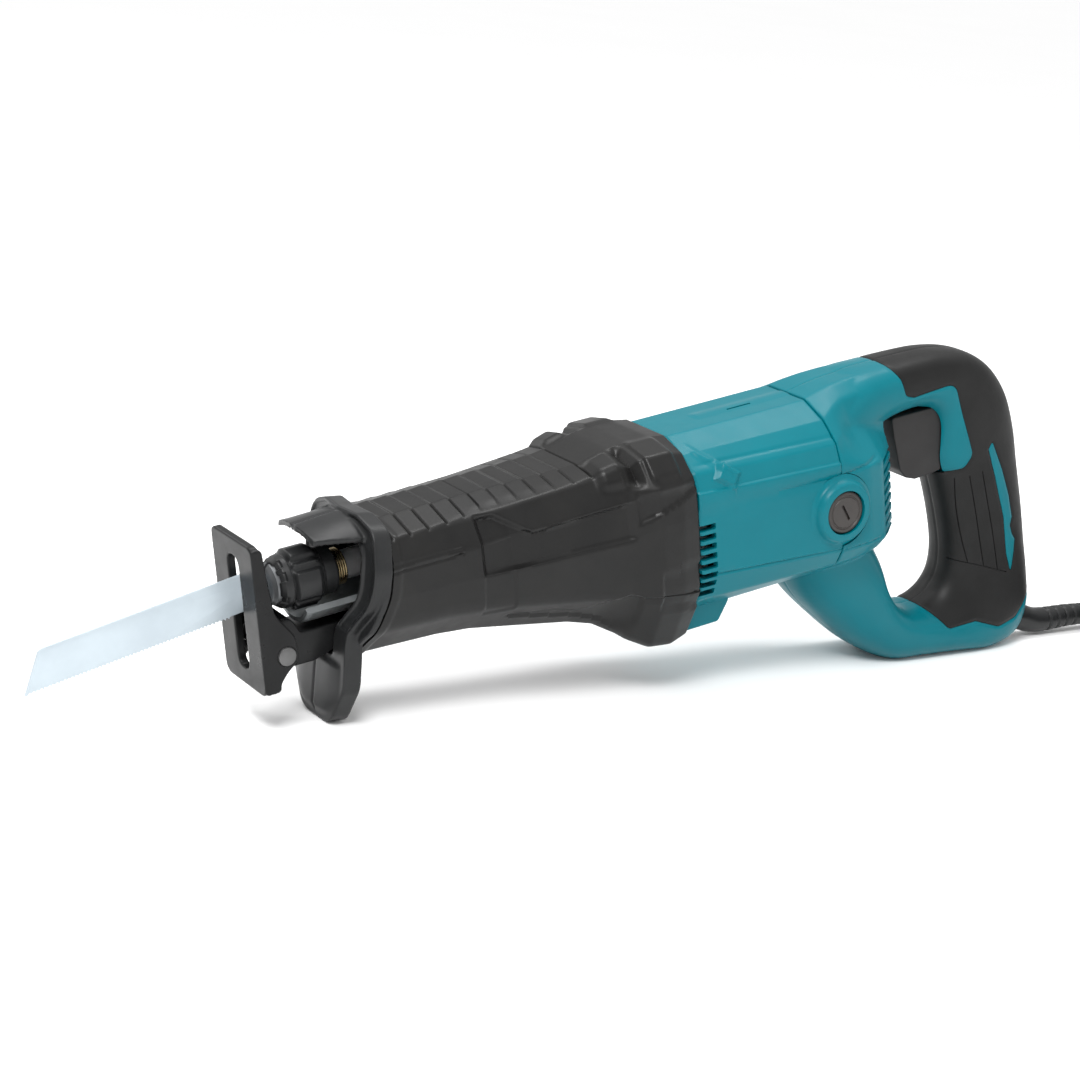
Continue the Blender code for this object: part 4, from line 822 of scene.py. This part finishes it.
def moulded_handle():
    """One melted skin of the rear body and the loop, with its grooves pressed in."""
    stations = np.linspace(304.0, 350.0, 60)
    body = skin("handle_body", body_rings(REAR_KEYS, stations, 1.2, bend=7, straight=8))
    combine(body, handle_loop("loop"), "UNION")
    melt(body, 0.75, 7)
    spots, normals = to_tool(body.data)
    plane = spots[:, (0, 2)]
    region = rounded(OVERMOULD, 6)
    depth = 0.55 * dent(distance_to(plane, region), 3.0)
    depth += 0.45 * dent(distance_to(plane, rounded(STRIP, 4)), 2.4)
    x, y, z = spots.T
    side = np.abs(y)
    # the ledge and the lower line run on from the motor housing
    run = smooth01(303, 306, x) * (1 - smooth01(326, 334, x)) * (side > 34)
    depth += run * 0.9 * dent(z + 6.6 - 0.1 * (x - 304), 2.6)
    depth += run * 0.8 * dent(z + 45.5, 2.0)
    # the middle seam
    depth += 0.35 * dent(y, 1.8)
    from_tool(body.data, spots - normals * depth[:, None])
    # square up the front face
    combine(body, box("front_cut", (250, -60, -58), (304.0, 60, 60)))
    return body


def make_handle():
    body = moulded_handle()
    region = rounded(OVERMOULD, 6)
    strip = rounded(STRIP, 4)
    trigger_way = box("trigger_way", (352, -TRIGGER_HALF - 0.5, -35.2), (404, TRIGGER_HALF + 0.5, 3.0))
    boss_room = lathe("boss_room", [(18.8, -60), (18.8, 60)], "y", (BRUSH_X, 0, MOTOR_Z), 96)
    motor_room = lathe("brush_room", [(36.5, 290), (36.5, 332)], "x", (0, 0, MOTOR_Z), 64)
    drawn_in[0] = "ground"
    floor = box("ground_cut", (0, -80, -90), (400, 80, 0.05))
    drawn_in[0] = "saw"
    guard_way = sweep("guard_way", [GUARD_ROOT - GUARD_WAY * 25, GUARD_ROOT + GUARD_WAY * 70], 8.2, 32)
    cut(body, floor, trigger_way, motor_room, boss_room, guard_way)
    for i in range(8):
        for name, sign in SIDES:
            low = -47.6 + 5.4 * i
            wedge = [(334.5, sign * 60), (334.5, sign * 35.6), (350.5, sign * 19), (362, sign * 19),
                     (362, sign * 60)]
            combine(body, slab("louvre", wedge, "xy", low, low + 2.6))
    cover_region = slab("cover_region", region, "xz", -45, 45, holes=[grown(strip, 0.15)])
    cover = twin(body, "handle_cover")
    combine(cover, cover_region, "INTERSECT")
    combine(cover, handle_loop("core", 2.0))
    seat_region = slab("seat_region", grown(region, 0.25), "xz", -46, 46, holes=[grown(strip, -0.15)])
    seat = handle_loop("seat", -1.5)
    combine(seat, seat_region, "INTERSECT")
    combine(seat, handle_loop("seat_core", 2.3))
    combine(body, seat)
    for line in GRIP_LINES:
        cut_line(cover, line)
    for i, (x, z) in enumerate(HANDLE_SCREWS):
        for piece in (body, cover):
            combine(piece, lathe("screw_way", [(4.2, 60), (4.2, 12), (2.3, 11.7), (2.3, -11.5)], "y",
                                 (x, 0, z), 32))
    for name, sign in SIDES:
        for piece, kind, key, slot in ((body, "handle_shell_", "teal", "body_plastic"),
                                       (cover, "grip_overmould_", "grip", "grip_rubber")):
            half = twin(piece, kind + name + "_skin")
            low, high = sorted((sign * 0.06, sign * 80))
            combine(half, box("keep", (240, low, -200), (520, high, 100)), "INTERSECT")
            finish(half, key, kind + name, "tool_body", 32)
    bpy.data.objects.remove(body, do_unlink=True)
    bpy.data.objects.remove(cover, do_unlink=True)


def cut_line(obj, line):
    """A fine groove of even depth along a line seen from the side, on both sides."""
    width, deep = 0.55, 0.5
    points = np.array(line, float)
    steps = np.linspace(0, len(points) - 1, 16)
    path = np.stack([spline(steps, points[:, 0]), spline(steps, points[:, 1])], 1)
    way = np.gradient(path, axis=0)
    way /= np.linalg.norm(way, axis=1)[:, None]
    across = np.stack([-way[:, 1], way[:, 0]], 1) * width / 2
    outline = np.concatenate([path + across, (path - across)[::-1]])
    cutter = slab("line", outline.tolist(), "xz", -40, 40)
    combine(cutter, handle_loop("line_core", deep + 0.1))
    combine(obj, cutter)


# ---------------------------------------------------------------- blade and its clamp

SLEEVE_LOBES = 4
BLADE_CANT = math.radians(5.5)
TOOTH_PITCH = 1.82


def make_blade():
    top, low, start = 8.0, -10.5, -104.0
    outline = [(4.0, top), (start + 13, top), (start + 11.4, top - 0.4), (start + 10, top - 1.2),
               (start, low)]
    x = start + TOOTH_PITCH
    while x < -4.0:
        outline += [(x, low), (x + 0.25, low + 0.85), (x + 0.75, low + 0.95)]
        x += TOOTH_PITCH
    outline.append((4.0, low + 1.0))
    c = math.cos(BLADE_CANT)
    s = math.sin(BLADE_CANT)
    canted = [(u * c - v * s, u * s + v * c) for u, v in outline]
    canted += [(16.0, -4.2), (36.0, -4.2), (36.0, 4.2), (16.0, 4.2)]
    blade = slab("blade_skin", canted, "xz", -0.65, 0.65)
    bevelled(blade, 0.16, 2, 50)
    finish(blade, "blade", "blade", "blade_drive", 30)


def make_clamp():
    body = lathe("blade_clamp_body_skin",
                 [(0, 14.5), (7.4, 14.5), (8.3, 14.8), (8.7, 15.3), (9.8, 16.2), (9.8, 18.6),
                  (9.4, 19.2), (9.0, 19.5), (9.0, 40), (0, 40)], "x", steps=96)
    combine(body, box("clamp_slot", (-5, -0.95, -13), (36.3, 0.95, 13)))
    combine(body, lathe("nose_bore", [(3.2, 10), (3.2, 15.4), (0, 17.5)], "x", (0, 0, -0.1), 48))
    finish(body, "nose", "blade_clamp_body", "blade_drive")


def make_sleeve():
    """The turning sleeve: four broad lobes, each framed by a rounded rib."""
    around = 256
    angles = 2 * np.pi * (np.arange(around) + 0.5) / around
    local = np.mod(angles + np.pi / SLEEVE_LOBES, 2 * np.pi / SLEEVE_LOBES) - np.pi / SLEEVE_LOBES
    across = np.abs(local)
    rings = []
    for x in np.linspace(17.0, 46.0, 150):
        base = np.interp(x, [17, 17.6, 19.5, 22.8, 23.4, 24.4, 37.2, 38.6, 39.4, 45.2, 46],
                         [9.9, 10.7, 12.1, 12.6, 12.0, 12.5, 12.5, 12.2, 11.5, 11.4, 10.8])
        run = smooth01(23.4, 25.6, x) * (1 - smooth01(35.4, 38.2, x))
        lobe = 1 - smooth01(0.44, 0.58, across)
        rib = np.exp(-((across - 0.785) / 0.075) ** 2)
        radius = base + run * (1.8 * lobe + 1.5 * rib)
        notch = (1 - smooth01(0.16, 0.19, np.abs(across - 0.5))) * (1 - smooth01(20.2, 20.8, x))
        radius = radius - 0.9 * notch
        rings.append(np.stack([np.full(around, x), radius * np.cos(angles),
                               radius * np.sin(angles)], 1))
    sleeve = skin("clamp_sleeve_skin", rings)
    combine(sleeve, lathe("sleeve_bore", [(10.1, -1), (10.1, 20.2), (9.3, 20.4), (9.3, 60)], "x",
                          steps=96))
    finish(sleeve, "black", "clamp_sleeve", "sleeve", 40)


def make_rod():
    turns, count = 4, 160
    angles = 2 * np.pi * turns * np.arange(count + 1) / count
    line = np.stack([47.1 + 4.6 * np.arange(count + 1) / count, 8.15 * np.cos(angles),
                     8.15 * np.sin(angles)], 1)
    spring = sweep("clamp_spring_skin", line, 0.52, 12)
    finish(spring, "spring", "clamp_spring", "blade_drive", 60)
    rod = lathe("reciprocating_rod_skin", [(0, 40.3), (6.2, 40.3), (6.8, 40.9), (6.8, 172.1),
                                           (6.2, 172.7), (0, 172.7)], "x", steps=96)
    finish(rod, "steel", "reciprocating_rod", "blade_drive")


# ---------------------------------------------------------------- gear housing

def make_gear_housing():
    """Die-cast body inside the boot, with the trough that runs forward under the clamp."""
    stations = np.linspace(69.5, 221.0, 80)
    rings = body_rings(BOOT_KEYS, stations, 1.6, bend=5, straight=3)
    middle = rings.mean(axis=1, keepdims=True)
    spread = rings - middle
    spread[..., 0] = 0
    rings = rings - spread / np.linalg.norm(spread, axis=2, keepdims=True) * 6.2
    housing = skin("gear_housing_skin", rings)
    trough = []
    for x in np.linspace(26.0, 71.5, 30):
        ring = []
        lip = 0.9 * (1 - smooth01(26.0, 27.2, x))
        for a in np.radians(np.linspace(215, 325, 60)):
            ring.append((x, (20.6 - lip) * math.cos(a), (20.6 - lip) * math.sin(a)))
        for a in np.radians(np.linspace(325, 215, 60)):
            ring.append((x, (17.4 + lip * 0.4) * math.cos(a), (17.4 + lip * 0.4) * math.sin(a)))
        trough.append(ring)
    combine(housing, skin("trough", trough), "UNION")
    half = 11.5
    gear_room = [(11.3, -49.8), (11.3, -41.7), (8, -41.7), (8, -33), (31.8, -33), (31.8, -9)]
    cut(housing, lathe("guide_bore", [(10.5, 60), (10.5, 130)], "x"),
        box("slider_chamber", (128, -27, -10), (240, 27, 14)),
        lathe("gear_chamber", gear_room, "z", (CRANK_X, 0, 0)),
        box("pinion_chamber", (201, -13, MOTOR_Z - 11), (240, 13, -5)),
        box("bracket_way", (40, -half, -60), (116, half, -21.2)))
    finish(housing, "cast", "gear_housing", "tool_body")


# ---------------------------------------------------------------- guard and shoe

def mirrored(half):
    return half + [(-u, *rest) for u, *rest in reversed(half)]


GUARD_FRONT, GUARD_BACK = 43.8, 53.0        # of the collar, before it is swept back
GUARD_HALF = [(15, 37.8, 12), (30, 33.0, 13), (35, 14, 20), (32.5, -3, 16), (24, -16, 4),
              (25.5, -42, 14), (14, -62.2, 12)]
GUARD_OPENING = [(13, 29, 11), (21.4, 21, 12), (21.4, -1, 12), (12, -15.5, 3), (12, -29, 1)]
# the plate behind the collar, which closes the boot's front
GUARD_BACKING = [(11.5, 33.4, 8), (27.4, 28.8, 8), (34.2, 17, 14), (34.6, 1.5, 14),
                 (33.6, -12.5, 12), (15.2, -29.9, 9)]


def make_guard():
    """Hand guard: a lipped collar round the clamp, a visor over it and a chin under it."""
    drawn_in[0] = "upright"
    outline = rounded(mirrored(GUARD_HALF), 10, 3)
    opening = rounded(mirrored(GUARD_OPENING), 8, 3)
    guard = slab("front_guard_skin", outline, "yz", GUARD_FRONT, GUARD_BACK, holes=[opening])
    bevelled(guard, 1.3, 3, 50)
    backing = slab("guard_backing", rounded(mirrored(GUARD_BACKING), 8, 3), "yz",
                   GUARD_BACK - 3.4, GUARD_BACK, holes=[opening])
    combine(guard, backing, "UNION", "EXACT")
    # the collar's face is sunk between a thin lip round its edge and one round the opening
    sunk = slab("sunk", grown(outline, -1.9), "yz", 40, 45.0, holes=[grown(opening, 1.6)])
    combine(sunk, box("low_keep", (39, -60, -70), (46, 60, -15)))
    combine(guard, sunk)
    # the chin's face is crowned, with a parting line down its middle
    rings = []
    for high in np.linspace(-59.5, -30.5, 40):
        reach = 21.5 * math.sqrt(max(0.02, 1 - max(0.0, (-44 - high) / 17.0) ** 2))
        t = np.linspace(-1, 1, 41)
        crown = 1.9 * (1 - t ** 4) * smooth01(-60.5, -55, high) * (1 - smooth01(-33.5, -30, high))
        crown = crown - 0.9 * dent(t * reach, 1.8)
        front = np.stack([GUARD_FRONT - crown, t * reach, np.full_like(t, high)], 1)
        back = np.stack([np.full_like(t, 46.0), t * reach, np.full_like(t, high)], 1)
        rings.append(np.concatenate([front, back[::-1]]))
    combine(guard, skin("chin", rings), "UNION")
    rings = []
    for x in np.linspace(25.4, 51.5, 54):
        reach, ridge, low = (np.interp(x, (25.4, 37, 49), row) for row in
                             ((18.0, 20.0, 22.5), (30.3, 33.4, 36.2), (27.0, 27.8, 28.6)))
        t = np.linspace(-1, 1, 61)
        drop = (ridge - low) * np.abs(t) ** 2.0 + 0.6 * dent(t * reach, 1.8)
        ahead = x + 2 * t * t * (1 - smooth01(40, 49, x)) - lean(reach * t, ridge - drop)
        top = np.stack([ahead, reach * t, ridge - drop], 1)
        under = np.stack([ahead, reach * t * 0.96, ridge - drop - 2.6], 1)
        rings.append(np.concatenate([top, under[::-1]]))
    combine(guard, skin("visor", rings), "UNION")
    drawn_in[0] = "saw"
    melt(guard, 0.6, 3)
    spots = np.array([vertex.co for vertex in guard.data.vertices])
    spots[:, 0] += lean(spots[:, 1] / MM, (spots[:, 2] - ORIGIN.z) / MM) * MM
    guard.data.vertices.foreach_set("co", spots.ravel())
    finish(guard, "black", "front_guard", "tool_body", 60)


PIN_X, PIN_Z = 12.0, -27.0


def make_shoe():
    """Pressed shoe: a slotted face with a flange down each side that grows into an ear."""
    h = 21.0
    plate = rounded([(-h, 27, 5), (h, 27, 5), (h, -44.5, 6), (-h, -44.5, 6)], 8, 4)
    slot = rounded([(-5.5, 18.5, 5.3), (5.5, 18.5, 5.3), (5.5, -36, 5.3), (-5.5, -36, 5.3)], 8, 4)
    shoe = slab("shoe_plate_skin", plate, "yz", 0, 4.0, holes=[slot])
    bevelled(shoe, 1.4, 3, 50)
    ear = rounded([(1.0, 25.5, 0), (5.4, 25.5, 3), (6.6, 10, 20), (8.3, -6, 14), (17.0, -18.5, 7),
                   (18.2, -30, 6), (11.5, -35.5, 3), (8.2, -39.5, 4), (7.8, -43.4, 3), (1.0, -43.4, 0)],
                  8, 3)
    for name, sign in SIDES:
        combine(shoe, slab("ear_" + name, ear, "xz", sign * (h - 0.05), sign * (h - 3.4)), "UNION")
    melt(shoe, 0.5, 4)
    combine(shoe, lathe("pin_bore", [(4.75, -40), (4.75, 40)], "y", (PIN_X, 0, PIN_Z)))
    finish(shoe, "blacksteel", "shoe_plate", "shoe", 45)
    pin = lathe("shoe_pin_skin", [(0, -22.2), (3.5, -22.1), (4.2, -21.7), (4.5, -21.0), (4.5, 21.0),
                                  (4.2, 21.7), (3.5, 22.1), (0, 22.2)], "y", (PIN_X, 0, PIN_Z), 64)
    finish(pin, "pin", "shoe_pin", "shoe_arm")
    side = rounded([(6.2, -21, 4), (11, -14.5, 4), (20.5, -14.5, 4), (24.5, -22.2, 3),
                    (108, -22.2, 0), (108, -34, 0), (42, -34, 0), (30, -37.5, 4), (9, -37.5, 5)], 8)
    bracket = slab("shoe_bracket_skin", side, "xz", -11, 11)
    bevelled(bracket, 0.9, 3, 40)
    cut(bracket, lathe("bracket_bore", [(4.75, -30), (4.75, 30)], "y", (PIN_X, 0, PIN_Z)),
        box("bracket_channel", (44, -8, -31), (120, 8, -10)),
        box("bracket_hollow", (-10, -7.8, -50), (21, 7.8, -8)))
    finish(bracket, "blacksteel", "shoe_bracket", "shoe_arm")


# ---------------------------------------------------------------- small parts of the body

def make_small_parts():
    outline = rounded([(361.4, 1.8, 2), (362.8, -9, 12), (366.4, -27.5, 6), (370.0, -32.2, 3),
                       (376, -34.4, 3), (386.5, -34.0, 2), (393, -33, 1), (395, 1.8, 0)], 8, 3)
    trigger = slab("trigger_skin", outline, "xz", -TRIGGER_HALF, TRIGGER_HALF)
    bevelled(trigger, 1.9, 4, 40)
    finish(trigger, "trigger", "trigger", "switch_trigger", 50)
    for name, sign in SIDES:
        cap = lathe("brush_cap_%s_skin" % name,
                    [(0, 38.6), (8.0, 38.6), (8.0, 43.0), (10.8, 43.2), (10.8, 46.4), (10.4, 47.1),
                     (9.9, 47.5), (8.9, 47.6), (8.5, 47.1), (8.0, 47.1), (7.6, 47.6), (0, 47.7)], "y",
                    (BRUSH_X, 0, MOTOR_Z), 96, sign=sign)
        way = Vector((math.cos(SLOT_TURN), -math.sin(SLOT_TURN)))
        across = Vector((-way.y, way.x)) * 0.7
        middle = Vector((BRUSH_X, MOTOR_Z))
        slot = [middle + way * 4.5 + across, middle - way * 4.5 + across,
                middle - way * 4.5 - across, middle + way * 4.5 - across]
        combine(cap, slab("cap_slot", slot, "xz", sign * 46.2, sign * 60))
        finish(cap, "cap", "brush_cap_" + name, "tool_body")
    for i, (x, z) in enumerate(HANDLE_SCREWS, 1):
        screw = lathe("handle_screw_%d_skin" % i,
                      [(0, -11), (1.9, -11), (1.9, 12.0), (3.6, 12.3), (3.6, 14.0), (3.1, 14.5),
                       (0, 14.5)], "y", (x, 0, z), 32)
        for low, high in (((x - 2.2, 13.2, z - 0.4), (x + 2.2, 16, z + 0.4)),
                          ((x - 0.4, 13.2, z - 2.2), (x + 0.4, 16, z + 2.2))):
            combine(screw, box("recess", low, high))
        finish(screw, "steel", "handle_screw_%d" % i, "tool_body")
    button = lathe("shoe_release_button_skin",
                   [(0, -42.2), (4.6, -42.2), (5.6, -41.8), (6.0, -41.0), (6.0, -36.8), (0, -36.8)],
                   "z", (BUTTON_X, 0, 0))
    finish(button, "black", "shoe_release_button", "release_button")


# ---------------------------------------------------------------- mains lead on the ground

CORD_RADIUS = 3.9
GUARD_ROOT = np.array((441.0, 0.0, -129.5))
GUARD_DIP = math.radians(14)
GUARD_WAY = np.array((math.cos(GUARD_DIP + TILT), 0.0, -math.sin(GUARD_DIP + TILT)))
TIP_Z = 8.4
COIL_OUT = 51.8                 # centreline of the outermost turn
COIL_LAYERS = 4
LAYER_SWEEP, CLIMB_SWEEP = 630.0, 120.0      # degrees wound in a layer, and climbing to the next
COIL_LIFT = 1.4
PLUG_AHEAD = 50.0


def smooth_path(points, step):
    """Evenly spaced points on a smooth curve through the given ones."""
    knots = np.array(points, float)
    steps = np.linspace(0, len(knots) - 1, 24 * (len(knots) - 1) + 1)
    fine = np.stack([spline(steps, column) for column in knots.T], 1)
    gone = np.concatenate([[0], np.cumsum(np.linalg.norm(np.diff(fine, axis=0), axis=1))])
    wanted = np.linspace(0, gone[-1], max(2, round(gone[-1] / step)) + 1)
    return np.stack([np.interp(wanted, gone, column) for column in fine.T], 1)


def coil_turns(centre):
    """Flat spirals wound in and out by turns, one on another, then off the coil's outside."""
    pitch = 2 * CORD_RADIUS
    width = pitch * LAYER_SWEEP / 360
    low = COIL_LIFT + CORD_RADIUS
    cycle = LAYER_SWEEP + CLIMB_SWEEP
    wound = COIL_LAYERS * cycle - CLIMB_SWEEP
    line = []
    for t in np.arange(0, wound + 180.1, 10.0):
        layer = min(int(t // cycle), COIL_LAYERS - 1)
        share = min(1.0, (t - layer * cycle) / LAYER_SWEEP)
        radius = COIL_OUT - width * (share if layer % 2 == 0 else 1 - share)
        climb = smooth01(LAYER_SWEEP, cycle, t - layer * cycle) if layer < COIL_LAYERS - 1 else 0
        height = low + pitch * (layer + climb)
        if t > wound:
            part = (t - wound) / 180
            radius = COIL_OUT + pitch * smooth01(0, 0.45, part)
            height -= (COIL_LAYERS - 1) * pitch * smooth01(0.2, 1, part)
        a = math.radians(90 - t)
        line.append((centre[0] + radius * math.cos(a), centre[1] + radius * math.sin(a), height))
    return line


def make_lead():
    root = np.array(TO_WORLD @ Vector(GUARD_ROOT)) / MM
    tip = np.array((root[0] + 68, 0, TIP_Z))
    dip = np.array((math.cos(GUARD_DIP), 0, -math.sin(GUARD_DIP)))
    drawn_in[0] = "ground"
    line = smooth_path([root, root + dip * 14, root + dip * 28, tip - np.array((18, 0, 0)), tip], 0.5)
    share = np.linspace(0, 1, len(line))
    radii = 7.6 - 1.9 * share
    for groove in (0.50, 0.59, 0.68, 0.77, 0.86):
        radii = radii - 0.7 * np.exp(-((share - groove) / 0.010) ** 2)
    radii[-3:] -= (0.15, 0.4, 0.9)
    guard = sweep("cord_guard_skin", line, radii, 48)
    finish(guard, "black", "cord_guard", "tool_body", 50)

    centre = np.array((tip[0] + 50, -COIL_OUT, 0))
    start = [(tip[0] - 1, 0, TIP_Z), (tip[0] + 8, 0, TIP_Z - 0.9), (tip[0] + 20, 0, 5.9)]
    turns = coil_turns(centre)
    last = np.array(turns[-1])
    plug_at = np.array((centre[0] - PLUG_AHEAD, centre[1] - COIL_OUT, 10.2))
    share = np.linspace(0, 1, 10)[1:]
    ease = smooth01(0, 1, share)
    tail = np.stack([last[0] + (plug_at[0] - 3 - last[0]) * share,
                     last[1] + (plug_at[1] - last[1]) * ease,
                     last[2] + (plug_at[2] - last[2]) * ease], 1)
    route = smooth_path(start + turns + tail.tolist(), 3.0)
    cord = sweep("power_cord_skin", route, CORD_RADIUS, 20)
    finish(cord, "cord", ("power_cord", "cord_coil", "cord_tail"), "tool_body", 60)
    tie = make_tie(centre)
    plug, pins = make_plug(plug_at)
    drawn_in[0] = "saw"


def make_tie(centre):
    """A rubber strap round the coil's turns, with a thicker block where it is closed."""
    low, high = COIL_LIFT - 1.2, COIL_LIFT + 2 * CORD_RADIUS * COIL_LAYERS + 1.2
    near, far = centre[0] + 30.2, centre[0] + 57.2
    outer = rounded([(near, high, 4), (far, high, 4), (far, low, 4), (near, low, 4)], 8, 6)
    inner = grown(outer, -1.0)
    tie = slab("coil_tie_skin", outer, "xz", centre[1] - 6, centre[1] + 6, holes=[inner])
    bevelled(tie, 0.35, 2, 50)
    return finish(tie, "cord", "coil_tie", "tool_body", 50)


def make_plug(at):
    """Two-pin moulded plug with grip ribs, lying beside the coil."""
    rings = []
    around = 72
    angles = 2 * np.pi * (np.arange(around) + 0.5) / around
    for x in np.linspace(0, 46, 140):
        wide = np.interp(x, [0, 1, 13, 19, 33, 45, 46], [5.4, 6.3, 7.4, 15, 17.9, 18, 17.2])
        thick = np.interp(x, [0, 1, 13, 19, 33, 45, 46], [5.4, 6.3, 7.0, 8.6, 10, 10, 9.2])
        power = np.interp(x, [0, 13, 20, 46], [1.0, 1.0, 0.7, 0.62])
        rib = 0.5 * (0.5 - 0.5 * math.cos(2 * math.pi * x / 3.2)) * smooth01(2, 4, x)
        rib *= 1 - smooth01(12, 14, x)
        grip = 0.6 * (0.5 - 0.5 * math.cos(2 * math.pi * x / 3.0)) * smooth01(23, 25, x)
        grip *= 1 - smooth01(40, 42, x)
        c, s = oval(angles, power)
        side = smooth01(0.75, 0.95, np.abs(np.cos(angles)))
        rings.append(np.stack([np.full(around, at[0] - x), at[1] + (wide - rib - grip * side) * c,
                               at[2] + (thick - rib) * s], 1))
    plug = skin("plug_skin", rings)
    finish(plug, "cord", "plug", "tool_body", 50)
    pins = []
    for name, sign in SIDES:
        pin = lathe("plug_pin_%s_skin" % name,
                    [(0, -65), (1.2, -64.8), (2.1, -64), (2.4, -62.8), (2.4, -46.3), (0, -46.3)],
                    "x", (at[0], at[1] + sign * 9.5, at[2]), 32)
        pins.append(finish(pin, "steel", "plug_pin_" + name, "tool_body"))
    return plug, pins


# ---------------------------------------------------------------- what is hidden inside

INSIDE = {
    "steel": ("crank_gear", "crank_pin", "crank_roller", "slider_yoke", "crank_shaft_bearing",
              "armature_shaft", "armature_bearing_front", "armature_bearing_rear"),
    "bronze": ("rod_bushing_front", "rod_bushing_rear", "brush_holder_left", "brush_holder_right"),
    "copper": ("armature_windings", "commutator", "field_coil_upper", "field_coil_lower"),
    "iron": ("field_core",),
    "cast": ("bearing_plate",),
    "black": ("cooling_fan", "baffle_plate", "switch_body", "cord_clamp"),
    "grip": ("rod_dust_seal",),
    "carbon": ("carbon_brush_left", "carbon_brush_right"),
}


def finish_inside():
    for key, names in INSIDE.items():
        for name in names:
            for place in bpy.data.objects[name].material_slots:
                place.material = LOOKS[key]


LOOKS = make_materials()
bpy.context.scene.view_settings.view_transform = "Standard"
make_camera()
make_studio()
make_lead()
make_blade()
make_clamp()
make_sleeve()
make_rod()
make_gear_housing()
make_guard()
make_shoe()
make_boot()
make_housing()
make_handle()
make_small_parts()
finish_inside()
